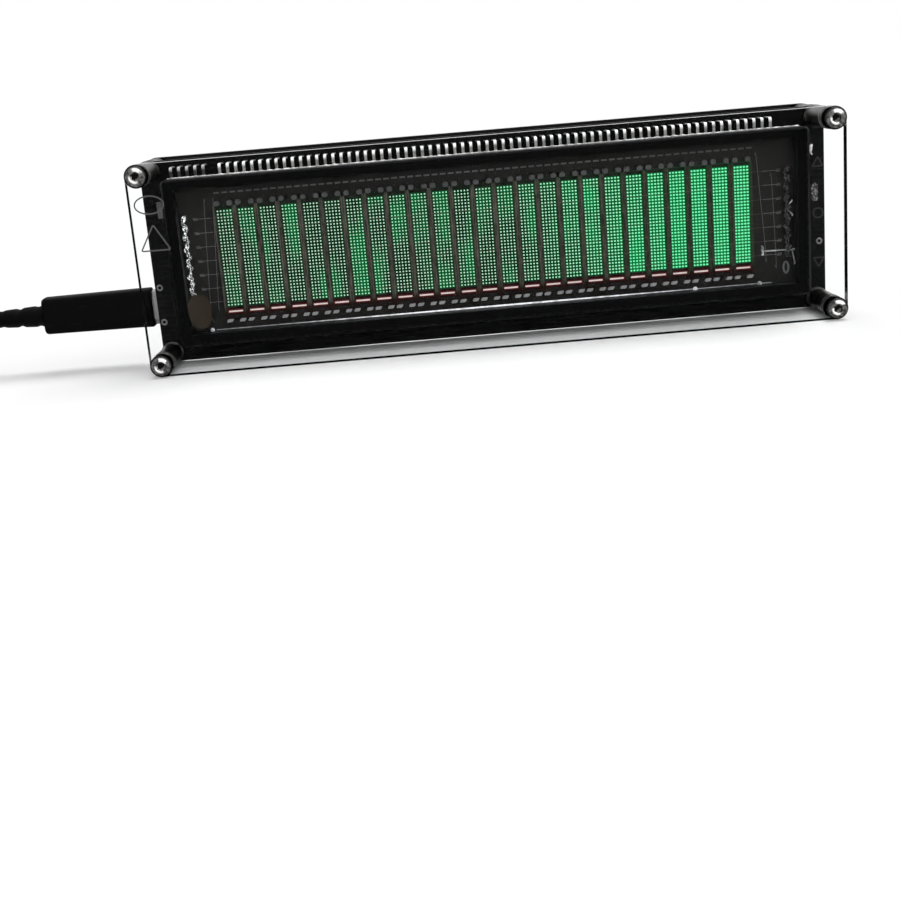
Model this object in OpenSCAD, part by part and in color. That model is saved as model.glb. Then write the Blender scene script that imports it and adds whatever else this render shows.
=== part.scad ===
// Desk display: a flat vacuum tube on a circuit board, held between two acrylic panels.
// Millimetres. X runs along the display, Y from its front to its back, Z up from the surface it stands on.

/* [Panels] */
// Width of the front and rear panels
panel_w = 171.6; // [150:0.2:200]
// Height of the front and rear panels
panel_h = 51.2; // [45:0.2:65]
// Thickness of each panel
panel_t = 3; // [2:0.5:5]
// Corner radius of the panels
panel_corner_r = 2.8; // [1:0.1:4]
// Distance from a panel's edges to its screw holes
hole_inset = 2.8; // [2.8:0.1:3.6]

/* [Board] */
// Distance from the panels' edges to the board's edges
board_inset = 0.4; // [0.2:0.1:0.6]
// Thickness of the circuit board
board_t = 1.6; // [1.2:0.2:2.4]
// Corner radius of the circuit board
board_corner_r = 2.4; // [1:0.1:3]

/* [Screws and spacers] */
// Thread diameter of the screws
screw_d = 3; // [2.5:0.1:3]
// Diameter of a screw's head
head_d = 5.5; // [5:0.1:5.6]
// Height of a screw's head
head_h = 1.7; // [1.5:0.1:2.2]
// Height of the straight edge under a head's dome
head_edge = 0.2; // [0.1:0.05:0.4]
// Width across the flats of the hexagonal recess in a head
recess_w = 2; // [1.5:0.1:2.4]
// Depth of the hexagonal recess in a head
recess_depth = 1.1; // [0.8:0.1:1.3]
// Diameter of the spacers
spacer_d = 5.5; // [5:0.1:5.6]
// Length of the front spacers, from the front panel to the board
front_gap = 15; // [14:0.5:20]
// Length of the rear spacers, from the board to the rear panel
rear_gap = 10; // [9.5:0.5:14]
// How far a screw or a stud reaches into a spacer
thread_reach = 4; // [3:0.5:4.5]
// How far a spacer's tapped hole runs past the screw in it
thread_spare = 2; // [1:0.5:4]
// Width of the ring grooves on a spacer
groove_w = 0.6; // [0.3:0.1:1]
// Depth of the ring grooves on a spacer
groove_depth = 0.35; // [0.2:0.05:0.5]
// Play around a thread in its tapped hole
thread_play = 0.1; // [0.05:0.05:0.15]
// Play around a screw in a panel or a stud in the board
hole_play = 0.2; // [0.1:0.05:0.3]

/* [Display tube] */
// Distance from the panels' side edges to the tube's glass
side_margin = 6.8; // [6:0.1:10]
// Distance from the panels' top and bottom edges to the tube's glass, before its rise
top_margin = 5.1; // [4.6:0.1:8]
// Height of the tube's middle above the middle of the panels
glass_rise = 0.4; // [0:0.1:0.6]
// Corner radius of the glass
glass_corner_r = 1.2; // [0.5:0.1:3]
// Thickness of the front glass
front_glass_t = 2.2; // [1.5:0.1:3]
// Thickness of the rear glass
rear_glass_t = 2.5; // [1.5:0.1:3]
// Depth of the hollow between the two glasses
hollow_t = 3.8; // [3.4:0.1:5]
// Width of the seal frame around the hollow
seal_w = 2.5; // [1.5:0.1:2.6]
// Thickness of the foam strips between the tube and the board
foam_t = 1.5; // [1:0.1:2]
// Width of a foam strip
foam_w = 12; // [6:1:16]

/* [Display pattern] */
// Number of display columns
column_count = 25; // [9:2:25]
// Room between the columns and each end of the tube's hollow
column_room = 9.6; // [8:0.1:12]
// Gap between one column and the next
column_gap = 1.55; // [1:0.05:2.5]
// Room between the columns and the top and bottom of the tube's hollow
column_margin = 5.9; // [5.5:0.1:8]
// Shift of the columns to the right of the tube's middle
column_shift = -0.9; // [-1:0.1:1]
// Thickness of the glowing coating
coating_t = 0.1; // [0.05:0.05:0.2]
// Height of the bar below a column
bar_h = 0.8; // [0.5:0.1:1]
// Distance from a column to the bar below it
bar_drop = 0.9; // [0.6:0.1:1.2]

/* [Grids and filaments] */
// Gap between one grid's frame and the next
grid_gap = 0.35; // [0.2:0.05:0.6]
// Width of a grid's rails
grid_rail = 0.3; // [0.2:0.05:0.4]
// Thickness of a grid's sheet
grid_t = 0.1; // [0.05:0.05:0.2]
// Height of a grid above the rear glass
grid_lift = 0.8; // [0.5:0.1:1.2]
// Width of a grid's foot
foot_w = 1.6; // [1:0.1:1.8]
// Height of a grid's foot
foot_h = 0.8; // [0.5:0.1:1]
// Distance from a grid's side to its feet
foot_inset = 0.2; // [0:0.1:0.4]
// Gap between a column's top and the upper feet
foot_rise = 1.3; // [0.8:0.1:2]
// Gap between the bar below a column and the lower feet
foot_drop = 1.4; // [0.8:0.1:2]
// Number of filaments
filament_count = 7; // [3:1:7]
// Diameter of a filament
filament_d = 0.15; // [0.1:0.05:0.2]
// Height of the filaments above the rear glass
filament_lift = 2; // [1.6:0.1:2.2]
// How far a strip's upright side stands past the filaments
anchor_lip = 0.5; // [0.3:0.1:1]
// How far a strip runs past the outer filaments
anchor_over = 1; // [0.5:0.1:2]
// Width of the strips that carry the filaments
anchor_w = 2.4; // [1.5:0.1:2.8]
// Thickness of the strips that carry the filaments
anchor_t = 0.3; // [0.2:0.05:0.4]
// Distance from the seal frame to a strip
anchor_gap = 0.5; // [0.3:0.1:1]
// Outer diameter of the getter's ring
getter_d = 3.4; // [2.5:0.1:3.6]
// Width of the getter's channel
getter_w = 0.8; // [0.5:0.1:1]
// Gap between the strip above and the getter
getter_gap = 1; // [0.5:0.1:1.5]
// Diameter of the getter's film on the front glass
film_d = 6.2; // [4:0.2:7]
// Gap between the seal frame and the getter's film
film_gap = 0.2; // [0.1:0.1:1]
// Height of the film's middle above the bottom of the tube's hollow
film_rise = 7.4; // [4:0.2:10]

/* [Pins] */
// Distance from one pin to the next
pin_pitch = 2; // [1.8:0.05:2]
// Room for the pins' seals at each end of the glass, before the pins' shift
pin_room = 5; // [4:0.5:10]
// Pin place that is left empty, counted from the left
empty_place = 6; // [2:1:20]
// Shift of the row of pins to the right of the tube's middle
pin_shift = -3; // [-3:0.5:3]
// Width of a pin
pin_w = 1; // [0.6:0.1:1.2]
// Thickness of a pin
pin_t = 0.25; // [0.2:0.05:0.4]
// How far the pins rise above the glass
pin_rise = 2.7; // [2:0.1:3]
// How far the pins stand out behind the board
pin_tail = 1.2; // [0.6:0.1:2]
// Play around a pin in its hole
pin_play = 0.1; // [0.05:0.05:0.2]

/* [Keys] */
// Distance from one key to the next
key_pitch = 12; // [8:0.5:13]
// Width and height of a key's housing
key_size = 6; // [5.4:0.1:7]
// Depth of a key's housing
key_depth = 3.8; // [3.4:0.1:5]
// Distance from the board's edge to the key housings
key_setback = 0.7; // [0.3:0.1:1.5]
// Diameter of a key
key_d = 3.4; // [2.5:0.1:3.6]
// How far a key stands out past the board's edge
key_reach = 1.2; // [0.8:0.1:3]
// How far a key travels
key_travel = 0.3; // [0.2:0.05:0.5]
// Width of the collar that keeps a key in its housing
key_collar = 0.5; // [0.3:0.1:0.6]
// Thickness of that collar
key_collar_t = 0.6; // [0.4:0.1:0.8]
// Thickness of the housing's front wall
key_wall = 0.8; // [0.6:0.1:1]
// Height of the snap dome behind a key
dome_h = 0.5; // [0.3:0.1:0.6]
// Play around a key
key_play = 0.08; // [0.05:0.01:0.1]

/* [Power socket and plug] */
// Height of the socket's middle above the surface
socket_z = 14.4; // [12:0.1:20]
// Width of the socket's shell
socket_w = 9; // [8.8:0.1:9.4]
// Depth of the socket's shell
socket_h = 3.2; // [3.2:0.1:3.6]
// Length of the socket
socket_l = 8; // [7.6:0.1:10]
// Wall of the socket's shell
socket_wall = 0.3; // [0.2:0.05:0.35]
// How far the socket stands out past the board's edge
socket_reach = 1.2; // [0.6:0.1:1.6]
// Length of the tongue in the socket
tongue_l = 5.6; // [4:0.1:5.8]
// Width of the tongue
tongue_w = 6.6; // [6:0.1:6.8]
// Thickness of the tongue
tongue_t = 0.7; // [0.5:0.05:0.8]
// Width of the plug's shell
plug_w = 8.2; // [8:0.05:8.25]
// Depth of the plug's shell
plug_h = 2.4; // [2.2:0.05:2.4]
// Length of the plug's shell
plug_l = 6.6; // [5.5:0.1:6.6]
// Wall of the plug's shell
plug_wall = 0.3; // [0.2:0.05:0.35]
// Gap between the socket and the plug's grip
plug_gap = 0.4; // [0.3:0.1:1]
// Length of the plug's grip
grip_l = 28; // [20:1:32]
// Width of the grip at the socket
grip_w = 9.8; // [9:0.1:12]
// Width of the grip at the lead
grip_end_w = 9.2; // [7:0.1:9.4]
// Depth of the grip
grip_h = 6; // [5:0.1:7]
// Radius of the grip's long edges
grip_r = 2.4; // [1:0.1:2.4]
// Length of the sleeve that guards the lead
sleeve_l = 12; // [8:1:14]
// Diameter of the sleeve at the grip
sleeve_d = 5.6; // [5:0.1:6]
// Wall of the sleeve where the lead comes out
sleeve_wall = 0.4; // [0.3:0.1:0.6]

/* [Lead] */
// Diameter of the lead
lead_d = 3.5; // [3:0.1:3.5]
// Thickness of the tie around the bundled lead
tie_t = 0.5; // [0.4:0.1:0.6]
// Width of the tie
tie_w = 8; // [4:1:12]
// Play between the tie and the bundle
tie_play = 0.1; // [0.05:0.05:0.2]
// Length of the far plug's grip
far_grip_l = 20; // [16:1:22]
// Width of the far plug's grip
far_grip_w = 15.4; // [14:0.1:16]
// Depth of the far plug's grip
far_grip_h = 8; // [7:0.1:9]
// Radius of the far grip's long edges
far_grip_r = 2; // [1:0.1:3]
// Length of the far plug's sleeve
far_sleeve_l = 6; // [4:1:6]
// Length of the far plug's shell
far_shell_l = 18.6; // [16:0.1:18.8]
// Width of the far plug's shell
far_shell_w = 12; // [11.8:0.1:12.2]
// Depth of the far plug's shell
far_shell_h = 4.5; // [4.3:0.1:4.7]
// Wall of the far plug's shell
far_wall = 0.4; // [0.3:0.05:0.5]
// Thickness of the insert in the far plug's shell
insert_t = 1.8; // [1.4:0.1:2]

/* [Parts behind the board] */
// Width of the controller chip
controller_w = 7; // [6:0.5:9]
// Width of a driver chip
driver_w = 10; // [8:0.5:11]
// Thickness of the chips
chip_t = 1.4; // [1:0.1:2]
// Gap between a chip and the board
chip_lift = 0.15; // [0.1:0.05:0.3]
// Distance from one chip leg to the next
leg_pitch = 0.8; // [0.65:0.05:0.8]
// Width of a chip leg
leg_w = 0.35; // [0.2:0.05:0.4]
// Length of a chip leg
leg_l = 0.9; // [0.6:0.1:1.2]
// Diameter of a storage capacitor
can_d = 6.3; // [5:0.1:8]
// Height of a storage capacitor with its base
can_h = 7.7; // [5:0.1:8]
// Height of a storage capacitor's base
can_base_h = 0.8; // [0.5:0.1:1.2]
// How far the base stands out around a storage capacitor
can_base_rim = 0.2; // [0.1:0.1:0.5]
// Width and depth of the groove around a storage capacitor
can_groove = 0.4; // [0.2:0.1:0.6]
// Width of the coil in the voltage converter
choke_w = 7.5; // [6:0.5:10]
// Height of that coil
choke_h = 4; // [3:0.5:6]
// Width of the ring groove in that coil's face
choke_groove = 0.5; // [0.3:0.1:0.8]
// Length of the clock crystal
crystal_l = 10.8; // [8:0.1:11.2]
// Width of the clock crystal
crystal_w = 4.6; // [4:0.1:5]
// Height of the clock crystal
crystal_h = 3.4; // [2.5:0.1:3.6]
// Diameter of the microphone
mic_d = 6; // [4:0.5:8]
// Height of the microphone
mic_h = 2.7; // [1.5:0.1:4]
// Thickness of the felt on the microphone
felt_t = 0.2; // [0.1:0.1:0.4]
// Width of the rim around that felt
felt_rim = 0.5; // [0.3:0.1:0.8]
// Diameter of the clock's coin cell
cell_d = 12.5; // [11:0.1:13]
// Thickness of the clock's coin cell
cell_t = 2; // [1.6:0.1:2.5]
// Thickness of the cell holder's floor
holder_floor = 0.8; // [0.5:0.1:1.2]
// Wall of the cell holder
holder_wall = 1; // [0.6:0.1:1.5]
// Play around the coin cell
cell_play = 0.3; // [0.1:0.1:0.5]
// Width of the voltage regulator
regulator_w = 6.4; // [5:0.1:7]
// Length of the voltage regulator's body
regulator_l = 3.5; // [3:0.1:4]
// Height of the voltage regulator
regulator_h = 1.7; // [1.4:0.1:2]
// Width of the voltage regulator's cooling tab
regulator_tab_w = 3.2; // [2:0.1:4]
// Width of the voltage regulator's legs
regulator_leg_w = 0.7; // [0.5:0.1:1]
// Length of the voltage regulator's legs and tab
regulator_leg_l = 1.7; // [1:0.1:2]
// Thickness of the voltage regulator's legs and tab
regulator_leg_t = 0.5; // [0.3:0.1:0.8]
// Distance from one of the voltage regulator's legs to the next
regulator_leg_pitch = 2.1; // [1.8:0.1:2.3]
// Length of the small chips
small_l = 1.6; // [1:0.1:2]
// Width of the small chips
small_w = 0.8; // [0.5:0.1:1.2]
// Height of the small chips
small_h = 0.6; // [0.4:0.1:1]

/* [Hidden] */
$fn = 48;

// How far a cutting shape runs past the face that it cuts
cut = 1;

// Places of the layers, from front to back
stack_t = 2 * panel_t + front_gap + board_t + rear_gap;
front_y = -stack_t / 2;
spacer_y = front_y + panel_t;
board_y = spacer_y + front_gap;
board_back_y = board_y + board_t;
rear_panel_y = board_back_y + rear_gap;
rear_y = rear_panel_y + panel_t;
mid_z = panel_h / 2;
board_w = panel_w - 2 * board_inset;
board_h = panel_h - 2 * board_inset;
hole_x = panel_w / 2 - hole_inset;
hole_z = panel_h / 2 - hole_inset;
screw_reach = panel_t + thread_reach;

// Places inside the display tube
glass_z = mid_z + glass_rise;
rear_glass_y = board_y - foam_t - rear_glass_t;
front_glass_back_y = rear_glass_y - hollow_t;
front_glass_y = front_glass_back_y - front_glass_t;
glass_w = panel_w - 2 * side_margin;
glass_h = panel_h - 2 * top_margin;
hollow_w = glass_w - 2 * seal_w;
hollow_h = glass_h - 2 * seal_w;
column_pitch = (hollow_w - 2 * column_room) / column_count;
column_w = column_pitch - column_gap;
column_h = hollow_h - 2 * column_margin;
column_top = column_h / 2;
bar_z = -column_top - bar_drop - bar_h / 2;
grid_w = column_pitch - grid_gap;
grid_top = column_top + foot_rise + foot_h;
grid_bottom = bar_z - bar_h / 2 - foot_drop - foot_h;
foot_x = grid_w / 2 - foot_inset - foot_w / 2;
filament_pitch = column_h / filament_count;
anchor_h = (filament_count - 1) * filament_pitch + 2 * anchor_over;
anchor_x = hollow_w / 2 - anchor_gap - anchor_w;
getter_x = anchor_x + anchor_w / 2;
getter_z = -anchor_h / 2 - getter_gap - getter_d / 2;
film_x = -hollow_w / 2 + film_gap + film_d / 2;
film_z = -hollow_h / 2 + film_rise;

// Places of the pins
pin_places = floor((glass_w - 2 * pin_room) / pin_pitch) + 1;
pin_start_z = glass_z + glass_h / 2;
pin_top_z = pin_start_z + pin_rise;
pin_end_y = board_back_y + pin_tail;

// Places of the keys
key_y = board_back_y + key_size / 2;
key_face_x = board_w / 2 - key_setback;
key_tip_x = board_w / 2 + key_reach;
key_pocket_d = key_d + 2 * key_collar + 2 * key_play;
key_pocket_l = key_play + key_collar_t + key_travel + key_play + dome_h;
key_pocket_x = key_face_x - key_wall;
key_pocket_end_x = key_pocket_x - key_pocket_l;

// Distances of the parts behind the board from its left end
regulator_from_left = 17.4;
choke_from_left = 23.4;
can_from_left = 35.4;
can_step = 10;
driver_from_left = 39.4;
driver_step = 26;
small_from_left = 51.4;

// Distances of the parts behind the board from its right end
mic_from_right = 11.4;
can_from_right = 25.4;
cell_from_right = 41.4;
driver_from_right = 55.4;
crystal_from_right = 67.4;

// Heights of the parts behind the board above the surface, and the controller's shift to the right
can_z = 12;
crystal_z = 14;
cell_z = 18;
small_z = 21;
controller_z = 22;
driver_z = 34;
regulator_z = 36;
controller_shift = 4;
small_pitch = [3.4, 3.5];
small_counts = [8, 2];

// Places of the parts behind the board, as X and Z
left_x = -board_w / 2;
right_x = board_w / 2;
controller_place = [controller_shift, controller_z];
driver_places = [[left_x + driver_from_left, driver_z], [left_x + driver_from_left + driver_step, driver_z],
    [right_x - driver_from_right, driver_z]];
choke_place = [left_x + choke_from_left, controller_z];
can_places = [[left_x + can_from_left, can_z], [left_x + can_from_left + can_step, can_z],
    [right_x - can_from_right, can_z]];
crystal_place = [right_x - crystal_from_right, crystal_z];
mic_place = [right_x - mic_from_right, regulator_z];
cell_place = [right_x - cell_from_right, cell_z];
regulator_place = [left_x + regulator_from_left, regulator_z];
small_place = [left_x + small_from_left, small_z];

// Places of the socket and the plug
socket_y = board_back_y + socket_h / 2;
socket_mouth_x = -board_w / 2 - socket_reach;
socket_back_x = socket_mouth_x + socket_l - socket_wall;
grip_x = socket_mouth_x - plug_gap;
sleeve_x = grip_x - grip_l;
sleeve_end_d = lead_d + 2 * sleeve_wall;

// Route of the lead from the plug's sleeve to its bundle, and from the bundle to the far plug
lead_route = [[sleeve_x - sleeve_l, socket_y, socket_z], [-129, 4.9, 14.4], [-132.9, 5.4, 13.9],
    [-136.8, 6.6, 12.6], [-140.7, 8.05, 11.1], [-144.6, 9.25, 9.9], [-148.5, 9.75, 9.35]];
far_route = [[-148.5, 4.5, 2.35], [-153.5, 3.2, 2.6], [-158, 0.4, 3.15], [-162.5, -2.95, 3.8],
    [-167, -5.8, 4.35], [-171.5, -7, 4.6], [-173.5, -7, 4.6]];
far_end = far_route[len(far_route) - 1];
far_grip_x = far_end[0] - far_sleeve_l - far_grip_l;
far_shell_x = far_grip_x - far_shell_l;
lead_sides = 8;

// Bundle of the lead: its middle, its straight run, its turns' outer and inner radius and its layers
hank_place = [-180.5, -7];
hank_run = 64;
hank_outer_r = 18.5;
hank_inner_r = 9.75;
hank_layers = 3;
hank_h = hank_layers * lead_d;

// Flat outline with round corners, centred
module rounded(w, h, r) {
    square([w - 2 * r, h], center = true);
    square([w, h - 2 * r], center = true);
    for (sx = [-1, 1], sz = [-1, 1])
        translate([sx * (w / 2 - r), sz * (h / 2 - r)])
            circle(r = r);
}

// Flat outline with two half-round ends, centred
module oblong(w, h) {
    square([w - h, h], center = true);
    for (s = [-1, 1])
        translate([s * (w - h) / 2, 0])
            circle(d = h);
}

// Raises an outline drawn in X and Z into a sheet from y to y + t
module sheet(y, t) {
    translate([0, y + t, 0])
        rotate([90, 0, 0])
            linear_extrude(t)
                children();
}

// Raises an outline, drawn with its width along Z and its height along Y, into a bar from x to x + l
module bar(x, l) {
    translate([x, 0, 0])
        rotate([0, 90, 0])
            linear_extrude(l)
                children();
}

// Turns a shape of revolution so that it points along +Y from the given place
module along_y(x, y, z) {
    translate([x, y, z])
        rotate([-90, 0, 0])
            children();
}

// Turns a shape of revolution so that it points along -X from the given place
module towards_left(x, y, z) {
    translate([x, y, z])
        rotate([0, -90, 0])
            children();
}

// Places a part on the back of the board, with its height along +Y
module behind_board(place) {
    along_y(place[0], board_back_y, place[1])
        children();
}

// Block that stands on the plane it is drawn on, centred in its other two directions
module block(w, l, h) {
    translate([-w / 2, -l / 2, 0])
        cube([w, l, h]);
}

// Repeats a piece at the four screw places
module at_screws() {
    for (sx = [-1, 1], sz = [-1, 1])
        translate([sx * hole_x, 0, mid_z + sz * hole_z])
            children();
}

// Outline of a panel or of the board, with its four screw holes
module plate_outline(w, h, r) {
    translate([0, mid_z])
        difference() {
            rounded(w, h, r);
            for (sx = [-1, 1], sz = [-1, 1])
                translate([sx * hole_x, sz * hole_z])
                    circle(d = screw_d + 2 * hole_play);
        }
}

module front_panel() {
    color([0.85, 0.9, 0.92, 0.3])
        sheet(front_y, panel_t)
            plate_outline(panel_w, panel_h, panel_corner_r);
}

module rear_panel() {
    color([0.85, 0.9, 0.92, 0.3])
        sheet(rear_panel_y, panel_t)
            plate_outline(panel_w, panel_h, panel_corner_r);
}

// Middle of a pin along the tube, counted from 1
function pin_x(place) = pin_shift + (place - (pin_places + 1) / 2) * pin_pitch;

module main_board() {
    color([0.04, 0.04, 0.045])
        sheet(board_y, board_t)
            difference() {
                plate_outline(board_w, board_h, board_corner_r);
                for (place = [1 : pin_places])
                    if (place != empty_place)
                        translate([pin_x(place), pin_top_z - pin_t / 2])
                            square([pin_w + 2 * pin_play, pin_t + 2 * pin_play], center = true);
            }
}

// Domed screw: the top of its head is at the origin and its thread points along +Z
module domed_screw() {
    cap_h = head_h - head_edge;
    cap_r = (head_d * head_d / 4 + cap_h * cap_h) / (2 * cap_h);
    difference() {
        intersection() {
            translate([0, 0, cap_r])
                sphere(r = cap_r);
            cylinder(d = head_d, h = head_h);
        }
        translate([0, 0, -cut])
            cylinder(d = recess_w / cos(30), h = recess_depth + cut, $fn = 6);
    }
    translate([0, 0, head_h])
        cylinder(d = screw_d, h = screw_reach);
}

module front_screws() {
    color([0.6, 0.6, 0.62])
        at_screws()
            along_y(0, front_y - head_h, 0)
                domed_screw();
}

module rear_screws() {
    color([0.6, 0.6, 0.62])
        at_screws()
            translate([0, rear_y + head_h, 0])
                rotate([90, 0, 0])
                    domed_screw();
}

// Half outline of a spacer with a ring groove near each end and a tapped hole of the given depth
module spacer_profile(l, bore_l) {
    difference() {
        square([spacer_d / 2, l]);
        translate([0, -cut])
            square([screw_d / 2 + thread_play, bore_l + cut]);
        for (at = [2 * groove_w, l - 3 * groove_w])
            translate([spacer_d / 2 - groove_depth, at])
                square([groove_depth + cut, groove_w]);
    }
}

module front_spacers() {
    color([0.55, 0.55, 0.56])
        at_screws()
            along_y(0, spacer_y, 0) {
                rotate_extrude()
                    spacer_profile(front_gap, thread_reach + thread_spare);
                translate([0, 0, front_gap])
                    cylinder(d = screw_d, h = board_t + thread_reach);
            }
}

module rear_spacers() {
    color([0.55, 0.55, 0.56])
        at_screws()
            along_y(0, board_back_y, 0)
                rotate_extrude()
                    spacer_profile(rear_gap, rear_gap + cut);
}

module glass_outline() {
    translate([0, glass_z])
        rounded(glass_w, glass_h, glass_corner_r);
}

module front_glass() {
    color([0.35, 0.38, 0.42, 0.4])
        sheet(front_glass_y, front_glass_t)
            glass_outline();
}

module seal_frame() {
    color([0.12, 0.13, 0.15])
        sheet(front_glass_back_y, hollow_t)
            difference() {
                glass_outline();
                translate([0, glass_z])
                    square([hollow_w, hollow_h], center = true);
            }
}

module rear_glass() {
    color([0.1, 0.1, 0.11])
        sheet(rear_glass_y, rear_glass_t)
            glass_outline();
}

module foam_strips() {
    color([0.08, 0.08, 0.08])
        for (s = [-1, 1])
            sheet(board_y - foam_t, foam_t)
                translate([s * (hollow_w - foam_w) / 2, glass_z])
                    square([foam_w, hollow_h], center = true);
}

// Middle of a column, counted from 1
function column_x(n) = column_shift + (n - (column_count + 1) / 2) * column_pitch;

// Coating on the rear glass, one patch for each column, at a height from the tube's middle
module column_coating(z, h) {
    for (n = [1 : column_count])
        sheet(rear_glass_y - coating_t, coating_t)
            translate([column_x(n), glass_z + z])
                square([column_w, h], center = true);
}

module display_columns() {
    color([0.2, 0.8, 0.5])
        column_coating(0, column_h);
}

module column_bars() {
    color([0.9, 0.55, 0.5])
        column_coating(bar_z, bar_h);
}

// One grid: a thin frame over a column, carried on four feet
module control_grid() {
    grid_h = grid_top - grid_bottom;
    sheet(rear_glass_y - grid_lift - grid_t, grid_t)
        translate([0, (grid_top + grid_bottom) / 2])
            difference() {
                square([grid_w, grid_h], center = true);
                square([grid_w - 2 * grid_rail, grid_h - 2 * foot_h], center = true);
            }
    for (s = [-1, 1], z = [grid_top - foot_h / 2, grid_bottom + foot_h / 2])
        sheet(rear_glass_y - grid_lift, grid_lift)
            translate([s * foot_x, z])
                square([foot_w, foot_h], center = true);
}

module control_grids() {
    color([0.45, 0.44, 0.43])
        for (n = [1 : column_count])
            translate([column_x(n), 0, glass_z])
                control_grid();
}

module filaments() {
    color([0.6, 0.58, 0.55])
        for (n = [1 : filament_count])
            translate([-anchor_x, rear_glass_y - filament_lift,
                    glass_z + (n - (filament_count + 1) / 2) * filament_pitch])
                rotate([0, 90, 0])
                    cylinder(d = filament_d, h = 2 * anchor_x);
}

// Folded strip that carries the filaments' ends, with its upright side towards the columns
module filament_strip() {
    upright = filament_lift + anchor_lip;
    translate([anchor_x, rear_glass_y, glass_z - anchor_h / 2])
        linear_extrude(anchor_h)
            polygon([[0, 0], [anchor_w, 0], [anchor_w, -anchor_t], [anchor_t, -anchor_t],
                [anchor_t, -upright], [0, -upright]]);
}

module filament_tensioner() {
    color([0.62, 0.6, 0.58])
        filament_strip();
}

module filament_anchor() {
    color([0.62, 0.6, 0.58])
        mirror([1, 0, 0])
            filament_strip();
}

module getter() {
    color([0.5, 0.48, 0.46])
        along_y(getter_x, rear_glass_y - getter_w, glass_z + getter_z)
            rotate_extrude()
                translate([getter_d / 2 - getter_w, 0])
                    square(getter_w);
}

module getter_film() {
    color([0.28, 0.2, 0.16])
        along_y(film_x, front_glass_back_y, glass_z + film_z)
            cylinder(d = film_d, h = coating_t);
}

// One pin: up from the tube's edge, then back through the board
module display_pin() {
    pin_y = rear_glass_y - pin_t;
    translate([-pin_w / 2, 0, 0])
        rotate([90, 0, 90])
            linear_extrude(pin_w)
                polygon([[pin_y, pin_start_z], [pin_y, pin_top_z - pin_t], [pin_y + pin_t, pin_top_z],
                    [pin_end_y, pin_top_z], [pin_end_y, pin_top_z - pin_t],
                    [rear_glass_y + pin_t, pin_top_z - pin_t], [rear_glass_y, pin_top_z - 2 * pin_t],
                    [rear_glass_y, pin_start_z]]);
}

module display_pins() {
    color([0.8, 0.8, 0.82])
        for (place = [1 : pin_places])
            if (place != empty_place)
                translate([pin_x(place), 0, 0])
                    display_pin();
}

// Height of a key, counted from -1 for the lowest to 1 for the highest
function key_z(n) = mid_z + n * key_pitch;

module key_housings() {
    color([0.1, 0.1, 0.1])
        for (n = [-1 : 1])
            difference() {
                translate([key_face_x - key_depth, board_back_y, key_z(n) - key_size / 2])
                    cube([key_depth, key_size, key_size]);
                towards_left(key_face_x + cut, key_y, key_z(n))
                    cylinder(d = key_d + 2 * key_play, h = key_wall + 2 * cut);
                towards_left(key_pocket_x, key_y, key_z(n))
                    cylinder(d = key_pocket_d, h = key_pocket_l);
            }
}

module key_domes() {
    color([0.7, 0.7, 0.7])
        for (n = [-1 : 1])
            towards_left(key_pocket_end_x + dome_h, key_y, key_z(n))
                cylinder(d1 = key_d / 2, d2 = key_d + key_collar, h = dome_h);
}

// One key with the collar that keeps it in its housing
module key(n) {
    collar_x = key_pocket_x - key_play;
    color([0.12, 0.12, 0.13]) {
        towards_left(key_tip_x, key_y, key_z(n))
            cylinder(d = key_d, h = key_tip_x - collar_x);
        towards_left(collar_x, key_y, key_z(n))
            cylinder(d = key_d + 2 * key_collar, h = key_collar_t);
    }
}

module key_up() {
    key(1);
}

module key_enter() {
    key(0);
}

module key_down() {
    key(-1);
}

module usb_socket() {
    color([0.72, 0.72, 0.74])
        translate([0, socket_y, socket_z])
            difference() {
                bar(socket_mouth_x, socket_l)
                    oblong(socket_w, socket_h);
                bar(socket_mouth_x - cut, socket_l - socket_wall + cut)
                    oblong(socket_w - 2 * socket_wall, socket_h - 2 * socket_wall);
            }
}

module socket_tongue() {
    color([0.08, 0.08, 0.08])
        translate([0, socket_y, socket_z])
            bar(socket_back_x - tongue_l, tongue_l)
                square([tongue_w, tongue_t], center = true);
}

// Flat chip with legs on its four sides
module quad_chip(w, legs) {
    translate([0, 0, chip_lift])
        block(w, w, chip_t);
    for (turn = [0 : 90 : 270], k = [0 : legs - 1])
        rotate(turn)
            translate([w / 2 + leg_l / 2, (k - (legs - 1) / 2) * leg_pitch, 0])
                block(leg_l, leg_w, chip_lift + chip_t / 2);
}

module controller_chip() {
    color([0.09, 0.09, 0.09])
        behind_board(controller_place)
            quad_chip(controller_w, floor(controller_w / leg_pitch));
}

module driver_chips() {
    color([0.09, 0.09, 0.09])
        for (place = driver_places)
            behind_board(place)
                quad_chip(driver_w, floor(driver_w / leg_pitch));
}

module choke() {
    groove_r = choke_w / 2 - 2 * choke_groove;
    color([0.2, 0.2, 0.21])
        behind_board(choke_place)
            difference() {
                block(choke_w, choke_w, choke_h);
                translate([0, 0, choke_h - choke_groove])
                    rotate_extrude()
                        translate([groove_r, 0])
                            square([choke_groove, choke_groove + cut]);
            }
}

module storage_capacitors() {
    color([0.75, 0.75, 0.76])
        for (place = can_places)
            behind_board(place)
                translate([0, 0, can_base_h])
                    rotate_extrude()
                        difference() {
                            square([can_d / 2, can_h - can_base_h]);
                            translate([can_d / 2 - can_groove, can_groove])
                                square([can_groove + cut, can_groove]);
                        }
}

module capacitor_bases() {
    base_w = can_d + 2 * can_base_rim;
    color([0.08, 0.08, 0.08])
        for (place = can_places)
            behind_board(place)
                block(base_w, base_w, can_base_h);
}

module crystal() {
    color([0.78, 0.78, 0.8])
        behind_board(crystal_place)
            linear_extrude(crystal_h)
                oblong(crystal_l, crystal_w);
}

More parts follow.
